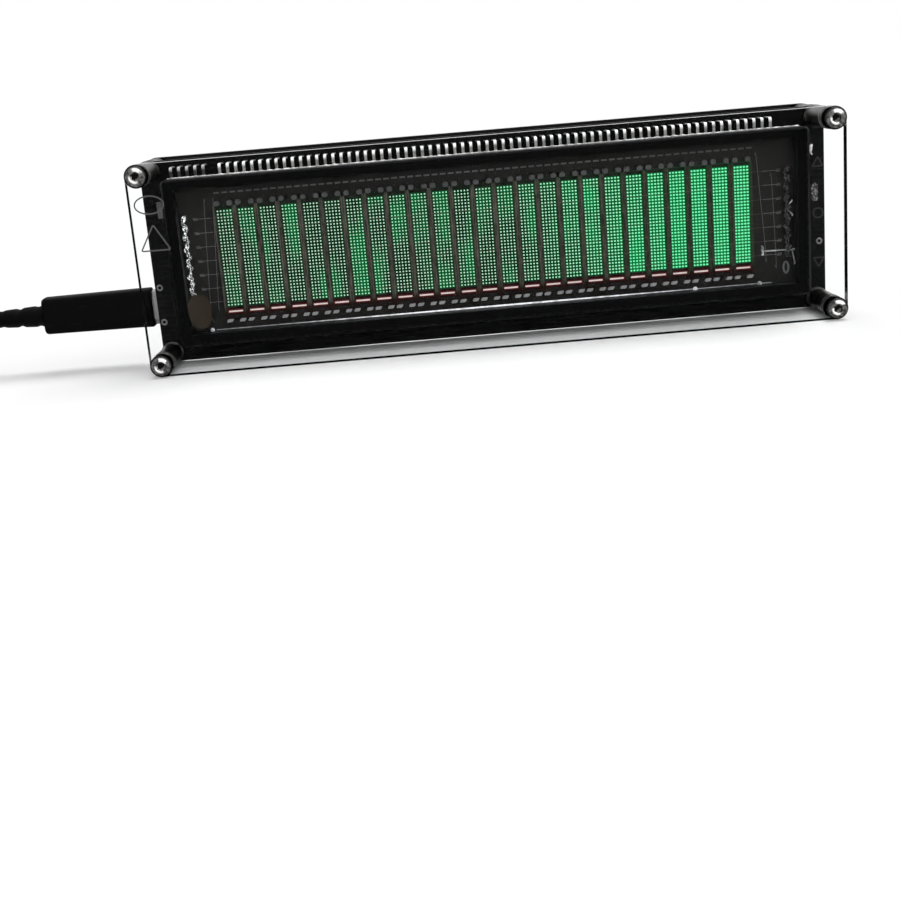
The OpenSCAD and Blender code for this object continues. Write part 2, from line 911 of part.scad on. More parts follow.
module microphone() {
    color([0.7, 0.7, 0.7])
        behind_board(mic_place) {
            cylinder(d = mic_d, h = mic_h);
            translate([0, 0, mic_h])
                cylinder(d = mic_d - 2 * felt_rim, h = felt_t);
        }
}

module coin_cell() {
    color([0.8, 0.8, 0.8])
        behind_board(cell_place)
            translate([0, 0, holder_floor])
                cylinder(d = cell_d, h = cell_t);
}

module cell_holder() {
    pocket_d = cell_d + 2 * cell_play;
    holder_w = pocket_d + 2 * holder_wall;
    color([0.12, 0.12, 0.12])
        behind_board(cell_place)
            difference() {
                block(holder_w, holder_w, holder_floor + cell_t);
                translate([0, 0, holder_floor])
                    cylinder(d = pocket_d, h = cell_t + cut);
            }
}

module regulator() {
    leg_middle = (regulator_l + regulator_leg_l) / 2;
    color([0.09, 0.09, 0.09])
        behind_board(regulator_place) {
            block(regulator_w, regulator_l, regulator_h);
            for (k = [-1 : 1])
                translate([k * regulator_leg_pitch, -leg_middle, 0])
                    block(regulator_leg_w, regulator_leg_l, regulator_leg_t);
            translate([0, leg_middle, 0])
                block(regulator_tab_w, regulator_leg_l, regulator_leg_t);
        }
}

module small_parts() {
    color([0.55, 0.45, 0.35])
        for (column = [0 : small_counts[0] - 1], row = [0 : small_counts[1] - 1])
            behind_board(small_place + [column * small_pitch[0], row * small_pitch[1]])
                block(small_l, small_w, small_h);
}

module plug_shell() {
    color([0.75, 0.75, 0.77])
        translate([0, socket_y, socket_z])
            difference() {
                bar(grip_x, plug_l)
                    oblong(plug_w, plug_h);
                bar(grip_x + plug_wall, plug_l)
                    oblong(plug_w - 2 * plug_wall, plug_h - 2 * plug_wall);
            }
}

module plug_grip() {
    color([0.05, 0.05, 0.05])
        translate([0, socket_y, socket_z])
            intersection() {
                bar(sleeve_x, grip_l)
                    rounded(grip_w, grip_h, grip_r);
                rotate([90, 0, 0])
                    linear_extrude(grip_h, center = true)
                        polygon([[sleeve_x, -grip_end_w / 2], [grip_x, -grip_w / 2], [grip_x, grip_w / 2],
                            [sleeve_x, grip_end_w / 2]]);
            }
}

module plug_sleeve() {
    color([0.05, 0.05, 0.05])
        towards_left(sleeve_x, socket_y, socket_z)
            cylinder(d1 = sleeve_d, d2 = sleeve_end_d, h = sleeve_l);
}

// Ring of points around a route point, square to the way the route runs there
function unit(v) = v / norm(v);
function heading(route, i) = unit(route[min(i + 1, len(route) - 1)] - route[max(i - 1, 0)]);
function ring(route, i, r) =
    let (along = heading(route, i),
         side = unit(cross([0, 0, 1], along)),
         up = cross(along, side))
    [for (k = [0 : lead_sides - 1])
        let (turn = 360 * k / lead_sides)
        route[i] + r * (cos(turn) * side + sin(turn) * up)];

// Tube along a route, as one closed skin
module tube_along(route, r) {
    rings = len(route);
    points = [for (i = [0 : rings - 1]) each ring(route, i, r)];
    walls = [for (i = [0 : rings - 2], k = [0 : lead_sides - 1])
        let (next = (k + 1) % lead_sides)
        [i * lead_sides + k, (i + 1) * lead_sides + k, (i + 1) * lead_sides + next, i * lead_sides + next]];
    first_cap = [for (k = [0 : lead_sides - 1]) k];
    last_cap = [for (k = [lead_sides - 1 : -1 : 0]) (rings - 1) * lead_sides + k];
    polyhedron(points, concat([first_cap], walls, [last_cap]));
}

module lead() {
    color([0.06, 0.06, 0.06])
        tube_along(lead_route, lead_d / 2);
}

module far_lead() {
    color([0.06, 0.06, 0.06])
        tube_along(far_route, lead_d / 2);
}

module lead_hank() {
    color([0.06, 0.06, 0.06])
        translate([hank_place[0], hank_place[1], tie_t + tie_play])
            linear_extrude(hank_h)
                difference() {
                    oblong(hank_run + 2 * hank_outer_r, 2 * hank_outer_r);
                    oblong(hank_run + 2 * hank_inner_r, 2 * hank_inner_r);
                }
}

module lead_tie() {
    inner_w = 2 * hank_outer_r + 2 * tie_play;
    inner_h = hank_h + 2 * tie_play;
    color([0.1, 0.1, 0.1])
        translate([0, hank_place[1], tie_t + inner_h / 2])
            bar(hank_place[0] - tie_w / 2, tie_w)
                difference() {
                    square([inner_h + 2 * tie_t, inner_w + 2 * tie_t], center = true);
                    square([inner_h, inner_w], center = true);
                }
}

module far_sleeve() {
    color([0.05, 0.05, 0.05])
        towards_left(far_end[0], far_end[1], far_end[2])
            cylinder(d1 = sleeve_end_d, d2 = sleeve_d, h = far_sleeve_l);
}

// Places an outline of the far plug, drawn with its height along Z, from x to x + l
module far_bar(x, l) {
    translate([0, far_end[1], far_end[2]])
        bar(x, l)
            children();
}

module far_grip() {
    color([0.05, 0.05, 0.05])
        far_bar(far_grip_x, far_grip_l)
            rounded(far_grip_h, far_grip_w, far_grip_r);
}

module far_shell() {
    color([0.75, 0.75, 0.77])
        difference() {
            far_bar(far_shell_x, far_shell_l)
                square([far_shell_h, far_shell_w], center = true);
            far_bar(far_shell_x - cut, far_shell_l - far_wall + cut)
                square([far_shell_h - 2 * far_wall, far_shell_w - 2 * far_wall], center = true);
        }
}

module far_insert() {
    color([0.9, 0.9, 0.88])
        far_bar(far_shell_x + far_wall, far_shell_l - 2 * far_wall)
            translate([(insert_t - far_shell_h) / 2 + far_wall, 0])
                square([insert_t, far_shell_w - 2 * far_wall], center = true);
}

front_panel();
rear_panel();
main_board();
front_screws();
front_spacers();
rear_spacers();
rear_screws();
front_glass();
seal_frame();
rear_glass();
foam_strips();
display_columns();
column_bars();
control_grids();
filaments();
filament_anchor();
filament_tensioner();
getter();
getter_film();
display_pins();
key_housings();
key_domes();
key_up();
key_enter();
key_down();
usb_socket();
socket_tongue();
controller_chip();
driver_chips();
choke();
storage_capacitors();
capacitor_bases();
crystal();
microphone();
coin_cell();
cell_holder();
regulator();
small_parts();
plug_shell();
plug_grip();
plug_sleeve();
lead();
lead_hank();
lead_tie();
far_lead();
far_sleeve();
far_grip();
far_shell();
far_insert();
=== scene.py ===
"""Looks of a music spectrum display: a lit tube on a black board between two panels, and its lead.

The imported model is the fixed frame. The script adds the pieces that the solids are too plain for,
gives every visible surface its material, and sets up the camera, the floor and the light.
Lengths in the code are millimetres, and MM turns them into metres when a mesh is made.
X runs to the right, Y to the back and Z up. The origin is the middle of the panels' lower edge.
"""

import math

import bpy
import numpy as np
from bpy.props import FloatProperty, FloatVectorProperty, IntProperty, PointerProperty
from mathutils import Matrix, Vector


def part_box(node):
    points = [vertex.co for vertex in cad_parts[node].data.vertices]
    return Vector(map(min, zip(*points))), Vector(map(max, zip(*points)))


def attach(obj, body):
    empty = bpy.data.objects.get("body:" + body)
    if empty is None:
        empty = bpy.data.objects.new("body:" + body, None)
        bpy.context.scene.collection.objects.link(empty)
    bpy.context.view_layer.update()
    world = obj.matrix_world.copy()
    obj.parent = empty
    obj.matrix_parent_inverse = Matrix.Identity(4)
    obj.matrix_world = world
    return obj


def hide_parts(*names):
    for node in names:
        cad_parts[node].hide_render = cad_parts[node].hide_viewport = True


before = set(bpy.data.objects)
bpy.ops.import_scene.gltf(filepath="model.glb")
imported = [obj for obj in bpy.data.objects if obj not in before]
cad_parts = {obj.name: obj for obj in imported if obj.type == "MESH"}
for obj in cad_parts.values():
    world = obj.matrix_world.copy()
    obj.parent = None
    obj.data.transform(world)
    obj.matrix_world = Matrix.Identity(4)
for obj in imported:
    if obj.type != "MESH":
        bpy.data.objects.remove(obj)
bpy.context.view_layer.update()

bl_info = {
    "name": "Spectrum display looks",
    "version": (1, 0, 0),
    "blender": (4, 5, 0),
    "location": "View3D > Sidebar > Display",
    "description": "Adds the looks of a spectrum display to its packed frame",
    "category": "Object",
}

MM = 0.001

# Shading of the new meshes and rounding of edges, angles in degrees
SHARP_ANGLE = 35
BEVEL_ANGLE = 40
BEVEL_SEGMENTS = 2
WELD_REACH = 0.001
INK_CORNER = 0.01


def node_box(node):
    """Lowest and highest corner of a node."""
    low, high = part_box(node)
    return np.array(low) / MM, np.array(high) / MM


def node_middle(node):
    """Middle of a node's box."""
    return sum(node_box(node)) / 2


PANEL_LOW, PANEL_HIGH = node_box("front_panel")
REAR_LOW, REAR_HIGH = node_box("rear_panel")
BOARD_LOW, BOARD_HIGH = node_box("main_board")
GLASS_LOW, GLASS_HIGH = node_box("front_glass")
COLUMN_LOW, COLUMN_HIGH = node_box("display_columns")
BAR_LOW, BAR_HIGH = node_box("column_bars")
GRID_LOW, GRID_HIGH = node_box("control_grids")
WIRE_LOW, WIRE_HIGH = node_box("filaments")
PIN_LOW, PIN_HIGH = node_box("display_pins")

# Places that several pieces share. TUBE_FACE is the rear glass's front, inside the tube.
MIDDLE_Z = (PANEL_LOW[2] + PANEL_HIGH[2]) / 2
BOARD_FACE = BOARD_LOW[1]
BOARD_BACK = BOARD_HIGH[1]
TUBE_FACE = node_box("rear_glass")[0][1]
COLUMN_COUNT = 25
COLUMN_WIDTH = 3.802
COLUMN_X = np.linspace(COLUMN_LOW[0] + COLUMN_WIDTH / 2, COLUMN_HIGH[0] - COLUMN_WIDTH / 2,
                       COLUMN_COUNT)
BAR_RISE = 0.05
BAR_Z = (BAR_LOW[2] + BAR_HIGH[2]) / 2 + BAR_RISE
GREEN_END = 62.0
SCREW_INSET = 2.8
SCREW_X = np.array([PANEL_LOW[0] + SCREW_INSET, PANEL_HIGH[0] - SCREW_INSET])
SCREW_Z = np.array([PANEL_LOW[2] + SCREW_INSET, PANEL_HIGH[2] - SCREW_INSET])
PIN_PLACES = 75
PIN_MISSING = 5
PIN_WIDTH = 1.0
PIN_X = np.delete(np.linspace(PIN_LOW[0] + PIN_WIDTH / 2, PIN_HIGH[0] - PIN_WIDTH / 2, PIN_PLACES),
                  PIN_MISSING)

# Places behind the board, along X and Z
CHIP_X, CHIP_Z = 4.0, 22.0
CHIP_HALF = 3.5
DRIVER_X, DRIVER_Z = (-46.0, -20.0, 30.0), 34.0
DRIVER_HALF = 5.0
CAPACITOR_X, CAPACITOR_Z = (-50.0, -40.0, 60.0), 12.0
SMALL_PART_X, SMALL_PART_PITCH = -34.0, 3.4
CELL_X, CELL_Z = node_middle("coin_cell")[[0, 2]]
CELL_GROOVE = 5.4

# Directions that a flat or turned part can face: across, up and out of the face
FRONT = np.array([[1.0, 0, 0], [0, 0, 1], [0, -1, 0]])
BACK = np.array([[-1.0, 0, 0], [0, 0, 1], [0, 1, 0]])
RIGHTWARD = np.array([[0, 1.0, 0], [0, 0, 1], [1, 0, 0]])


# Shapes. A part is its points and a list of face arrays.

def quads(rows, cols, wrap_rows=False, wrap_cols=False):
    """Faces of a grid of points: each joins a point to its neighbours along both parameters."""
    r = np.arange(rows if wrap_rows else rows - 1)[:, None]
    c = np.arange(cols if wrap_cols else cols - 1)[None, :]
    r2, c2 = (r + 1) % rows, (c + 1) % cols
    corners = [r * cols + c, r * cols + c2, r2 * cols + c2, r2 * cols + c]
    return np.stack(corners, -1).reshape(-1, 4)


def skin(rings, wrap_rows=False):
    """Closed rings of points joined one after the other; the two end rings are closed as faces."""
    rows, cols = rings.shape[:2]
    faces = [quads(rows, cols, wrap_rows, True)]
    if not wrap_rows:
        faces.append(np.stack([np.arange(cols)[::-1], (rows - 1) * cols + np.arange(cols)]))
    return rings.reshape(-1, 3), faces


def spread(x, y, z):
    """Rows of x, y and z, where a single number stands for all rows."""
    return np.stack(np.broadcast_arrays(x, y, z), -1).reshape(-1, 3).astype(float)


def copies(part, places):
    """The same part at every place: its points plus each place in turn."""
    points, faces = part
    places = np.atleast_2d(np.asarray(places, float))
    step = np.arange(len(places))[:, None, None] * len(points)
    return ((places[:, None] + points[None]).reshape(-1, 3),
            [(step + f[None]).reshape(-1, f.shape[1]) for f in faces])


def unit(vectors):
    """Vectors divided by their lengths."""
    return vectors / np.linalg.norm(vectors, axis=-1, keepdims=True)


def through(points, count):
    """Smooth curve through points: between two of them a cubic whose slopes at both are half the
    distance between their neighbours."""
    p = np.asarray(points, float)
    ends = np.vstack([2 * p[0] - p[1], p, 2 * p[-1] - p[-2]])
    u = np.linspace(0, len(p) - 1, count)
    i = np.minimum(u.astype(int), len(p) - 2)
    t = (u - i)[:, None]
    a, b, c, d = ends[i], ends[i + 1], ends[i + 2], ends[i + 3]
    return 0.5 * (2 * b + (c - a) * t + (2 * a - 5 * b + 4 * c - d) * t**2
                  + (3 * b - a - 3 * c + d) * t**3)


def evenly(path, count):
    """The same path with points at equal distances along it."""
    along = np.concatenate([[0], np.cumsum(np.linalg.norm(np.diff(path, axis=0), axis=1))])
    at = np.linspace(0, along[-1], count)
    return np.stack([np.interp(at, along, path[:, k]) for k in range(3)], -1)


def sweep(path, profile, up, closed=False, scale=1.0):
    """A profile of (a, b) rows carried along a path: each goes to path + a * side + b * top, where
    side is at right angles to the path and to up, and top to the path and side. scale widens the
    profile along the way."""
    path = np.asarray(path, float)
    if closed:
        run = np.roll(path, -1, 0) - np.roll(path, 1, 0)
    else:
        run = np.gradient(path, axis=0)
    run = unit(run)
    side = unit(np.cross(run, np.broadcast_to(np.asarray(up, float), run.shape)))
    top = np.cross(side, run)
    size = np.broadcast_to(np.asarray(scale, float), len(path))[:, None, None]
    ring = profile[None, :, :1] * side[:, None] + profile[None, :, 1:] * top[:, None]
    return skin(path[:, None] + size * ring, closed)


def circle(radius, sides):
    """Points at equal angles round a circle."""
    a = np.arange(sides) * 2 * np.pi / sides
    return radius * np.stack([np.cos(a), np.sin(a)], -1)


def rectangle(width, height, corner, steps=3):
    """Rectangle with round corners: a quarter circle about each corner's centre in turn."""
    turn = np.linspace(0, np.pi / 2, steps + 1)
    angle = (np.arange(4)[:, None] * np.pi / 2 + turn).ravel()
    sign_a = np.repeat([1, -1, -1, 1], steps + 1)
    sign_b = np.repeat([1, 1, -1, -1], steps + 1)
    return np.stack([sign_a * (width / 2 - corner) + corner * np.cos(angle),
                     sign_b * (height / 2 - corner) + corner * np.sin(angle)], -1)


def quarter_bow(steps):
    """Cosines and sines of a quarter circle, as rows."""
    a = np.linspace(0, np.pi / 2, steps)
    return np.column_stack([np.cos(a), np.sin(a)])


def turned(profile, sides, axes, hexagon=None, wrap=False):
    """A profile of (radius, height) rows turned about the face's outward axis. hexagon says for
    each row how far its circle becomes a hexagon of that inner radius: 0 not at all, 1 fully."""
    profile = np.asarray(profile, float)
    a = np.arange(sides) * 2 * np.pi / sides
    radius = np.repeat(profile[:, :1], sides, 1)
    if hexagon is not None:
        six = 1 / np.cos((a + np.pi / 6) % (np.pi / 3) - np.pi / 6)
        radius = radius * (1 + np.asarray(hexagon)[:, None] * (six - 1))
    rings = (radius[..., None] * (np.cos(a)[:, None] * axes[0] + np.sin(a)[:, None] * axes[1])
             + profile[:, 1, None, None] * axes[2])
    return skin(rings, wrap)


def plate(edge, depth, bevel=0.0, axes=FRONT):
    """An outline drawn out along the face's outward axis, with its front edge set in by bevel:
    rings of the same outline at the back, below the bevel and at the front."""
    middle = edge.mean(0)
    inner = middle + (edge - middle) * (1 - bevel / np.abs(edge - middle).max())
    levels = [(edge, 0.0), (edge, depth - bevel)] + ([(inner, depth)] if bevel else [])
    return skin(np.stack([o[:, :1] * axes[0] + o[:, 1:] * axes[1] + h * axes[2]
                          for o, h in levels]))


def printed_line(edge, place, width, ink):
    """A printed line round an outline: a flat profile carried along it at a place on a face."""
    path = spread(edge[:, 0] + place[0], place[1], edge[:, 1] + place[2])
    return sweep(path, rectangle(width, ink, INK_CORNER, 1), (0, 1, 0), closed=True)


def at_screws(y):
    """The four screw places at a depth y."""
    x, z = np.meshgrid(SCREW_X, SCREW_Z)
    return spread(x, y, z)


def put(name, parts, finish, replaced=(), body="display"):
    """Makes one piece of several closed parts. Faces of a part that encloses a negative volume are
    turned round. Edges sharper than the angle stay sharp."""
    points, loops, starts, count, base = [], [], [], 0, 0
    for part_points, part_faces in parts:
        p = part_points - part_points.mean(0)
        volume = sum(np.einsum("ij,ij->", p[f[:, 0]], np.cross(p[f[:, k]], p[f[:, k + 1]]))
                     for f in part_faces for k in range(1, f.shape[1] - 1))
        for f in part_faces:
            f = f[:, ::-1] if volume < 0 else f
            loops.append((f + base).ravel())
            starts.append(count + np.arange(len(f)) * f.shape[1])
            count += f.size
        points.append(part_points)
        base += len(part_points)
    points = np.concatenate(points) * MM
    loops, starts = np.concatenate(loops), np.concatenate(starts)
    mesh = bpy.data.meshes.new(name)
    mesh.vertices.add(len(points))
    mesh.vertices.foreach_set("co", points.astype(np.float32).ravel())
    mesh.loops.add(len(loops))
    mesh.loops.foreach_set("vertex_index", loops.astype(np.int32))
    mesh.polygons.add(len(starts))
    mesh.polygons.foreach_set("loop_start", starts.astype(np.int32))
    mesh.polygons.foreach_set("use_smooth", np.ones(len(starts), dtype=bool))
    mesh.update(calc_edges=True)
    if mesh.validate():
        raise RuntimeError("the mesh of %s has faulty faces" % name)
    mesh.set_sharp_from_angle(angle=math.radians(SHARP_ANGLE))
    mesh.materials.append(finish)
    piece = bpy.data.objects.new(name, mesh)
    bpy.context.scene.collection.objects.link(piece)
    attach(piece, body)
    if replaced:
        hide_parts(*replaced)
    return piece


def dress(node, finish, bevel=0.0):
    """Gives a node of the frame its material, and where bevel is set merges its points and rounds
    its edges."""
    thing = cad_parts[node]
    thing.data.materials.clear()
    thing.data.materials.append(finish)
    if bevel:
        weld = thing.modifiers.new("weld", "WELD")
        weld.merge_threshold = WELD_REACH * MM
        edge = thing.modifiers.new("edge", "BEVEL")
        edge.width = bevel * MM
        edge.segments = BEVEL_SEGMENTS
        edge.limit_method = "ANGLE"
        edge.angle_limit = math.radians(BEVEL_ANGLE)
    return thing


# Shader maths

class Value:
    """One output of a node. Arithmetic on it adds Math nodes to the same tree."""

    def __init__(self, tree, socket):
        self.tree = tree
        self.socket = socket

    def math(self, operation, *values):
        """Adds one Math node."""
        return self.tree.node("ShaderNodeMath", {"operation": operation}, dict(enumerate(values)))

    def __add__(self, other):
        return self.math("ADD", self, other)

    __radd__ = __add__

    def __sub__(self, other):
        return self.math("SUBTRACT", self, other)

    def __rsub__(self, other):
        return self.math("SUBTRACT", other, self)

    def __mul__(self, other):
        return self.math("MULTIPLY", self, other)

    __rmul__ = __mul__

    def __truediv__(self, other):
        return self.math("DIVIDE", self, other)

    def __rtruediv__(self, other):
        return self.math("DIVIDE", other, self)

    def __pow__(self, other):
        return self.math("POWER", self, other)

    def __mod__(self, other):
        return self.math("FLOORED_MODULO", self, other)

    def __abs__(self):
        return self.math("ABSOLUTE", self)

    def __gt__(self, other):
        return self.math("GREATER_THAN", self, other)

    def least(self, other):
        return self.math("MINIMUM", self, other)

    def most(self, other):
        return self.math("MAXIMUM", self, other)

    def sine(self):
        return self.math("SINE", self)


class Tree:
    """A node tree that is built by calls."""

    def __init__(self, tree):
        self.tree = tree

    def node(self, kind, settings=(), sockets=(), out=0):
        """Adds a node: its settings first, then its sockets' values or links. Gives one output."""
        made = self.tree.nodes.new(kind)
        for key, value in dict(settings).items():
            setattr(made, key, value)
        for key, value in dict(sockets).items():
            self.feed(made.inputs[key], value)
        return Value(self, made.outputs[out])

    def feed(self, socket, value):
        """Links a value to a socket, or sets a plain number or colour on it."""
        if isinstance(value, Value):
            self.tree.links.new(value.socket, socket)
        else:
            opaque = socket.type == "RGBA" and len(value) == 3
            socket.default_value = (*value, 1) if opaque else value

    def looked_at(self):
        """1 for rays from the camera, gloss and glass, and 0 for those that only carry light."""
        rays = self.node("ShaderNodeLightPath").socket.node.outputs
        camera, gloss, glass = (Value(self, rays["Is %s Ray" % kind])
                                for kind in ("Camera", "Glossy", "Transmission"))
        return camera.most(gloss).most(glass)


class Finish(Tree):
    """A material: a Principled shader with given constants, and patterns on Object coordinates."""

    def __init__(self, name, **constants):
        self.material = bpy.data.materials.new(name)
        self.material.use_nodes = True
        self.material.cycles.emission_sampling = "NONE"
        super().__init__(self.material.node_tree)
        self.shader = self.tree.nodes["Principled BSDF"]
        self.set(**constants)
        self.place = self.node("ShaderNodeTexCoord", out="Object")
        split = self.node("ShaderNodeSeparateXYZ", {}, {"Vector": self.place})
        self.x, self.y, self.z = (Value(self, s) / MM for s in split.socket.node.outputs)

    def set(self, **sockets):
        """Sets or links the shader's sockets; an underscore in a name stands for a space."""
        for key, value in sockets.items():
            self.feed(self.shader.inputs[key.replace("_", " ")], value)
        return self

    def noise(self, size, detail=2.0, rough=0.5, stretch=None):
        """Cloudy pattern from 0 to 1 with features about size wide, stretched along the axes."""
        where = self.place
        if stretch:
            where = self.node("ShaderNodeMapping", {},
                              {"Vector": where, "Scale": [1 / s for s in stretch]})
        return self.node("ShaderNodeTexNoise", {}, {"Vector": where, "Scale": 1 / (size * MM),
                                                    "Detail": detail, "Roughness": rough})

    def cells(self, size):
        """Distance to the nearest of scattered points about size apart."""
        return self.node("ShaderNodeTexVoronoi", {},
                         {"Vector": self.place, "Scale": 1 / (size * MM)})

    def step(self, value, low, high):
        """0 below low, 1 above high, and a smooth rise between."""
        return self.node("ShaderNodeMapRange", {"interpolation_type": "SMOOTHSTEP"},
                         {"Value": value, "From Min": low, "From Max": high})

    def nearest(self, places):
        """Distance along X to the nearest of several places."""
        away = abs(self.x - places[0])
        for place in places[1:]:
            away = away.least(abs(self.x - place))
        return away

    def inset(self, low, high):
        """Distance in from the edges of a box that is seen from the front."""
        middle, half = (low + high) / 2, (high - low) / 2
        return (half[0] - abs(self.x - middle[0])).least(half[2] - abs(self.z - middle[2]))

    def mix(self, factor, first, second):
        """Colour between the first, at 0, and the second, at 1."""
        return self.node("ShaderNodeMix", {"data_type": "RGBA"}, {0: factor, 6: first, 7: second},
                         out=2)

    def bump(self, height, depth):
        """Raises the surface by height times depth, in its shading only."""
        return self.set(Normal=self.node("ShaderNodeBump", {}, {
            "Height": height, "Distance": depth * MM, "Strength": 1.0}, out="Normal"))


FINISHES = {}
BLACK = (0.0, 0.0, 0.0)

# Noise of the slow patches in which the columns glow more
PATCHES = (7, 2, 0.5, (0.8, 1, 2.2))


def finish(maker):
    """Keeps each material, so that pieces of one finish share it."""
    def kept(*values):
        key = (maker.__name__,) + values
        if key not in FINISHES:
            FINISHES[key] = maker(*values).material
        return FINISHES[key]
    return kept


def grained(name, cloud, dark, light, rough, relief=None, **constants):
    """A finish with one noise each for its colour, roughness and relief: cloud is the noise between
    the dark and the light colour, rough is (least, change, noise) and relief is (noise, depth)."""
    f = Finish(name, **constants)
    least, change, grain = rough
    f.set(Base_Color=f.mix(f.noise(*cloud), dark, light),
          Roughness=least + change * f.noise(*grain))
    return f.bump(f.noise(*relief[0]), relief[1]) if relief else f


def powder(name, dark, light, strength=1.0, gloss=0.0, size=0.3):
    """A fine matt coating that glows. Its light is set by its user."""
    return grained(name, (size, 3), dark, light, (0.6, 0.2, (0.5,)), Emission_Strength=strength,
                   Specular_IOR_Level=gloss)


@finish
def acrylic(border):
    """Polished clear sheet with faint wiping marks and a slight tint in its edges. A border other
    than 0 is the width of a black band along the edges. It bends and reflects light less than real
    acrylic, so that what is behind it stays clear from any side."""
    f = Finish("acrylic_%d" % round(border * 10), Transmission_Weight=1.0, IOR=1.12,
               Specular_Tint=(0.03, 0.03, 0.03))
    inset = f.inset(PANEL_LOW, PANEL_HIGH)
    sheet = f.mix(f.noise(30), (0.985, 0.99, 0.99), (0.965, 0.975, 0.975))
    colour = f.mix(f.step(inset, 0.04, 0.2), (0.62, 0.70, 0.70), sheet)
    if border:
        colour = f.mix(f.step(inset, border, border + 0.06), (0.008, 0.008, 0.009), colour)
    wiped = f.step(f.noise(6, 3, 0.6, (3, 1, 1)), 0.45, 0.8)
    return f.set(Base_Color=colour, Roughness=0.03 * wiped)


@finish
def tube_glass():
    """Sheet glass of the tube, with a faint, uneven smoke tint and a ground rim. It bends and
    reflects light less than real glass, as the panels do."""
    f = Finish("tube_glass", Transmission_Weight=1.0, IOR=1.15, Specular_Tint=(0.05, 0.05, 0.055))
    rim = 1.0 - f.step(f.inset(GLASS_LOW, GLASS_HIGH), 0.40, 0.46)
    return f.set(Base_Color=f.mix(f.noise(25), (0.88, 0.89, 0.90), (0.82, 0.84, 0.86)),
                 Roughness=0.02 * f.noise(9, 3) + 0.45 * rim)


@finish
def sealing_glass():
    """Dark fused glass round the tube's rim, with pores and a dull sheen."""
    f = grained("sealing_glass", (2.0, 4), (0.020, 0.020, 0.021), (0.042, 0.042, 0.044),
                (0.35, 0.3, (0.8, 3)), Specular_IOR_Level=0.3)
    return f.bump(f.step(f.cells(0.5), 0.0, 0.35), 0.03)


@finish
def tube_back():
    """Coated rear glass inside the tube: brown black, with fine upright lines of conductors."""
    f = Finish("tube_back", Specular_IOR_Level=0.15)
    lines = f.step(abs((f.x / 0.42) % 1.0 - 0.5), 0.2, 0.4) * (0.3 + 0.5 * f.noise(0.7, 3))
    return f.set(Base_Color=f.mix(lines, (0.017, 0.0157, 0.0143), (0.036, 0.031, 0.026)),
                 Roughness=0.4 + 0.25 * f.noise(3, 3))


@finish
def black_board():
    """Matt black solder mask: the weave below it, faint raised conductors and dust."""
    f = Finish("black_board", Specular_IOR_Level=0.06)
    weave = (f.x * 9.0).sine() * (f.z * 9.0).sine()
    trace = (f.step(abs((f.z / 1.27 + 0.6 * f.noise(14, 0)) % 1.0 - 0.5), 0.30, 0.34)
             * f.step(f.noise(11, 1), 0.46, 0.5))
    dust = f.step(f.noise(0.35, 2, 0.7), 0.66, 0.8)
    ground = f.mix(trace, (0.0055, 0.0055, 0.006), (0.0095, 0.0092, 0.0095))
    f.set(Base_Color=f.mix(dust * 0.35, ground, (0.05, 0.047, 0.045)),
          Roughness=0.42 + 0.2 * f.noise(4, 3))
    return f.bump(trace + 0.15 * weave, 0.03)


@finish
def bright_steel():
    """Plated steel of the screws with painted light: a hexagon socket darkened as painted shade,
    with a painted highlight on one side of it, a dark dome with painted highlights above and beside
    the socket's lower left edge, a black edge round it as painted shade, and fine scratches."""
    f = Finish("bright_steel", Specular_IOR_Level=0.2, Specular_Tint=(0.15, 0.15, 0.15))
    half_x, half_z, middle = SCREW_X[1], (SCREW_Z[1] - SCREW_Z[0]) / 2, SCREW_Z.mean()
    dx = f.x - half_x * (2.0 * (f.x > 0.0) - 1.0)
    dz = f.z - middle - half_z * (2.0 * (f.z > middle) - 1.0)
    radius = (dx * dx + dz * dz) ** 0.5
    across, upward = dx / radius, dz / radius
    uneven = 0.5 * f.noise(0.8, 2) - 0.25
    # Dark non-metal inside the hexagon socket: painted shade in the recess.
    socket = 1.0 - f.step(abs(dx).most(0.5 * abs(dx) + 0.866 * abs(dz)), 0.90, 0.98)
    # A painted highlight on one side inside the socket.
    painted_socket_highlight = f.step(0.6 * across - 0.8 * upward, 0.55, 0.8) * f.step(radius, 0.45, 0.6)
    # Painted highlights on the dome: low beside the socket's lower left edge, high above it.
    low = (f.step(uneven - 0.62 * across - 0.78 * upward, 0.25, 0.7)
           * (1.0 - f.step(radius, 1.35, 1.7)))
    high = (f.step(uneven + 0.3 * across + 0.95 * upward, 0.72, 0.92)
            * f.step(radius, 1.2, 1.4) * (1.0 - f.step(radius, 1.9, 2.3)))
    scratch = f.step(f.noise(0.5, 2, 0.6, (6, 1, 1)), 0.62, 0.72)
    dome = f.mix(f.step(f.noise(0.7, 3), 0.35, 0.65), (0.035, 0.035, 0.035), (0.16, 0.158, 0.155))
    lit = f.mix(low.most(high), dome, (0.92, 0.91, 0.90))
    # Black edge round the dome: painted shade.
    head = f.mix(f.step(radius, 2.15, 2.5), lit, (0.022, 0.022, 0.022))
    socket_painted_light = f.mix(painted_socket_highlight, (0.008, 0.008, 0.008), (0.30, 0.297, 0.29))
    f.set(Base_Color=f.mix(socket, head, socket_painted_light), Metallic=1.0 - socket,
          Roughness=0.16 + 0.12 * f.noise(0.6, 3) + 0.15 * scratch)
    return f.bump(f.noise(0.12, 2, 0.5, (1, 8, 1)), 0.004)


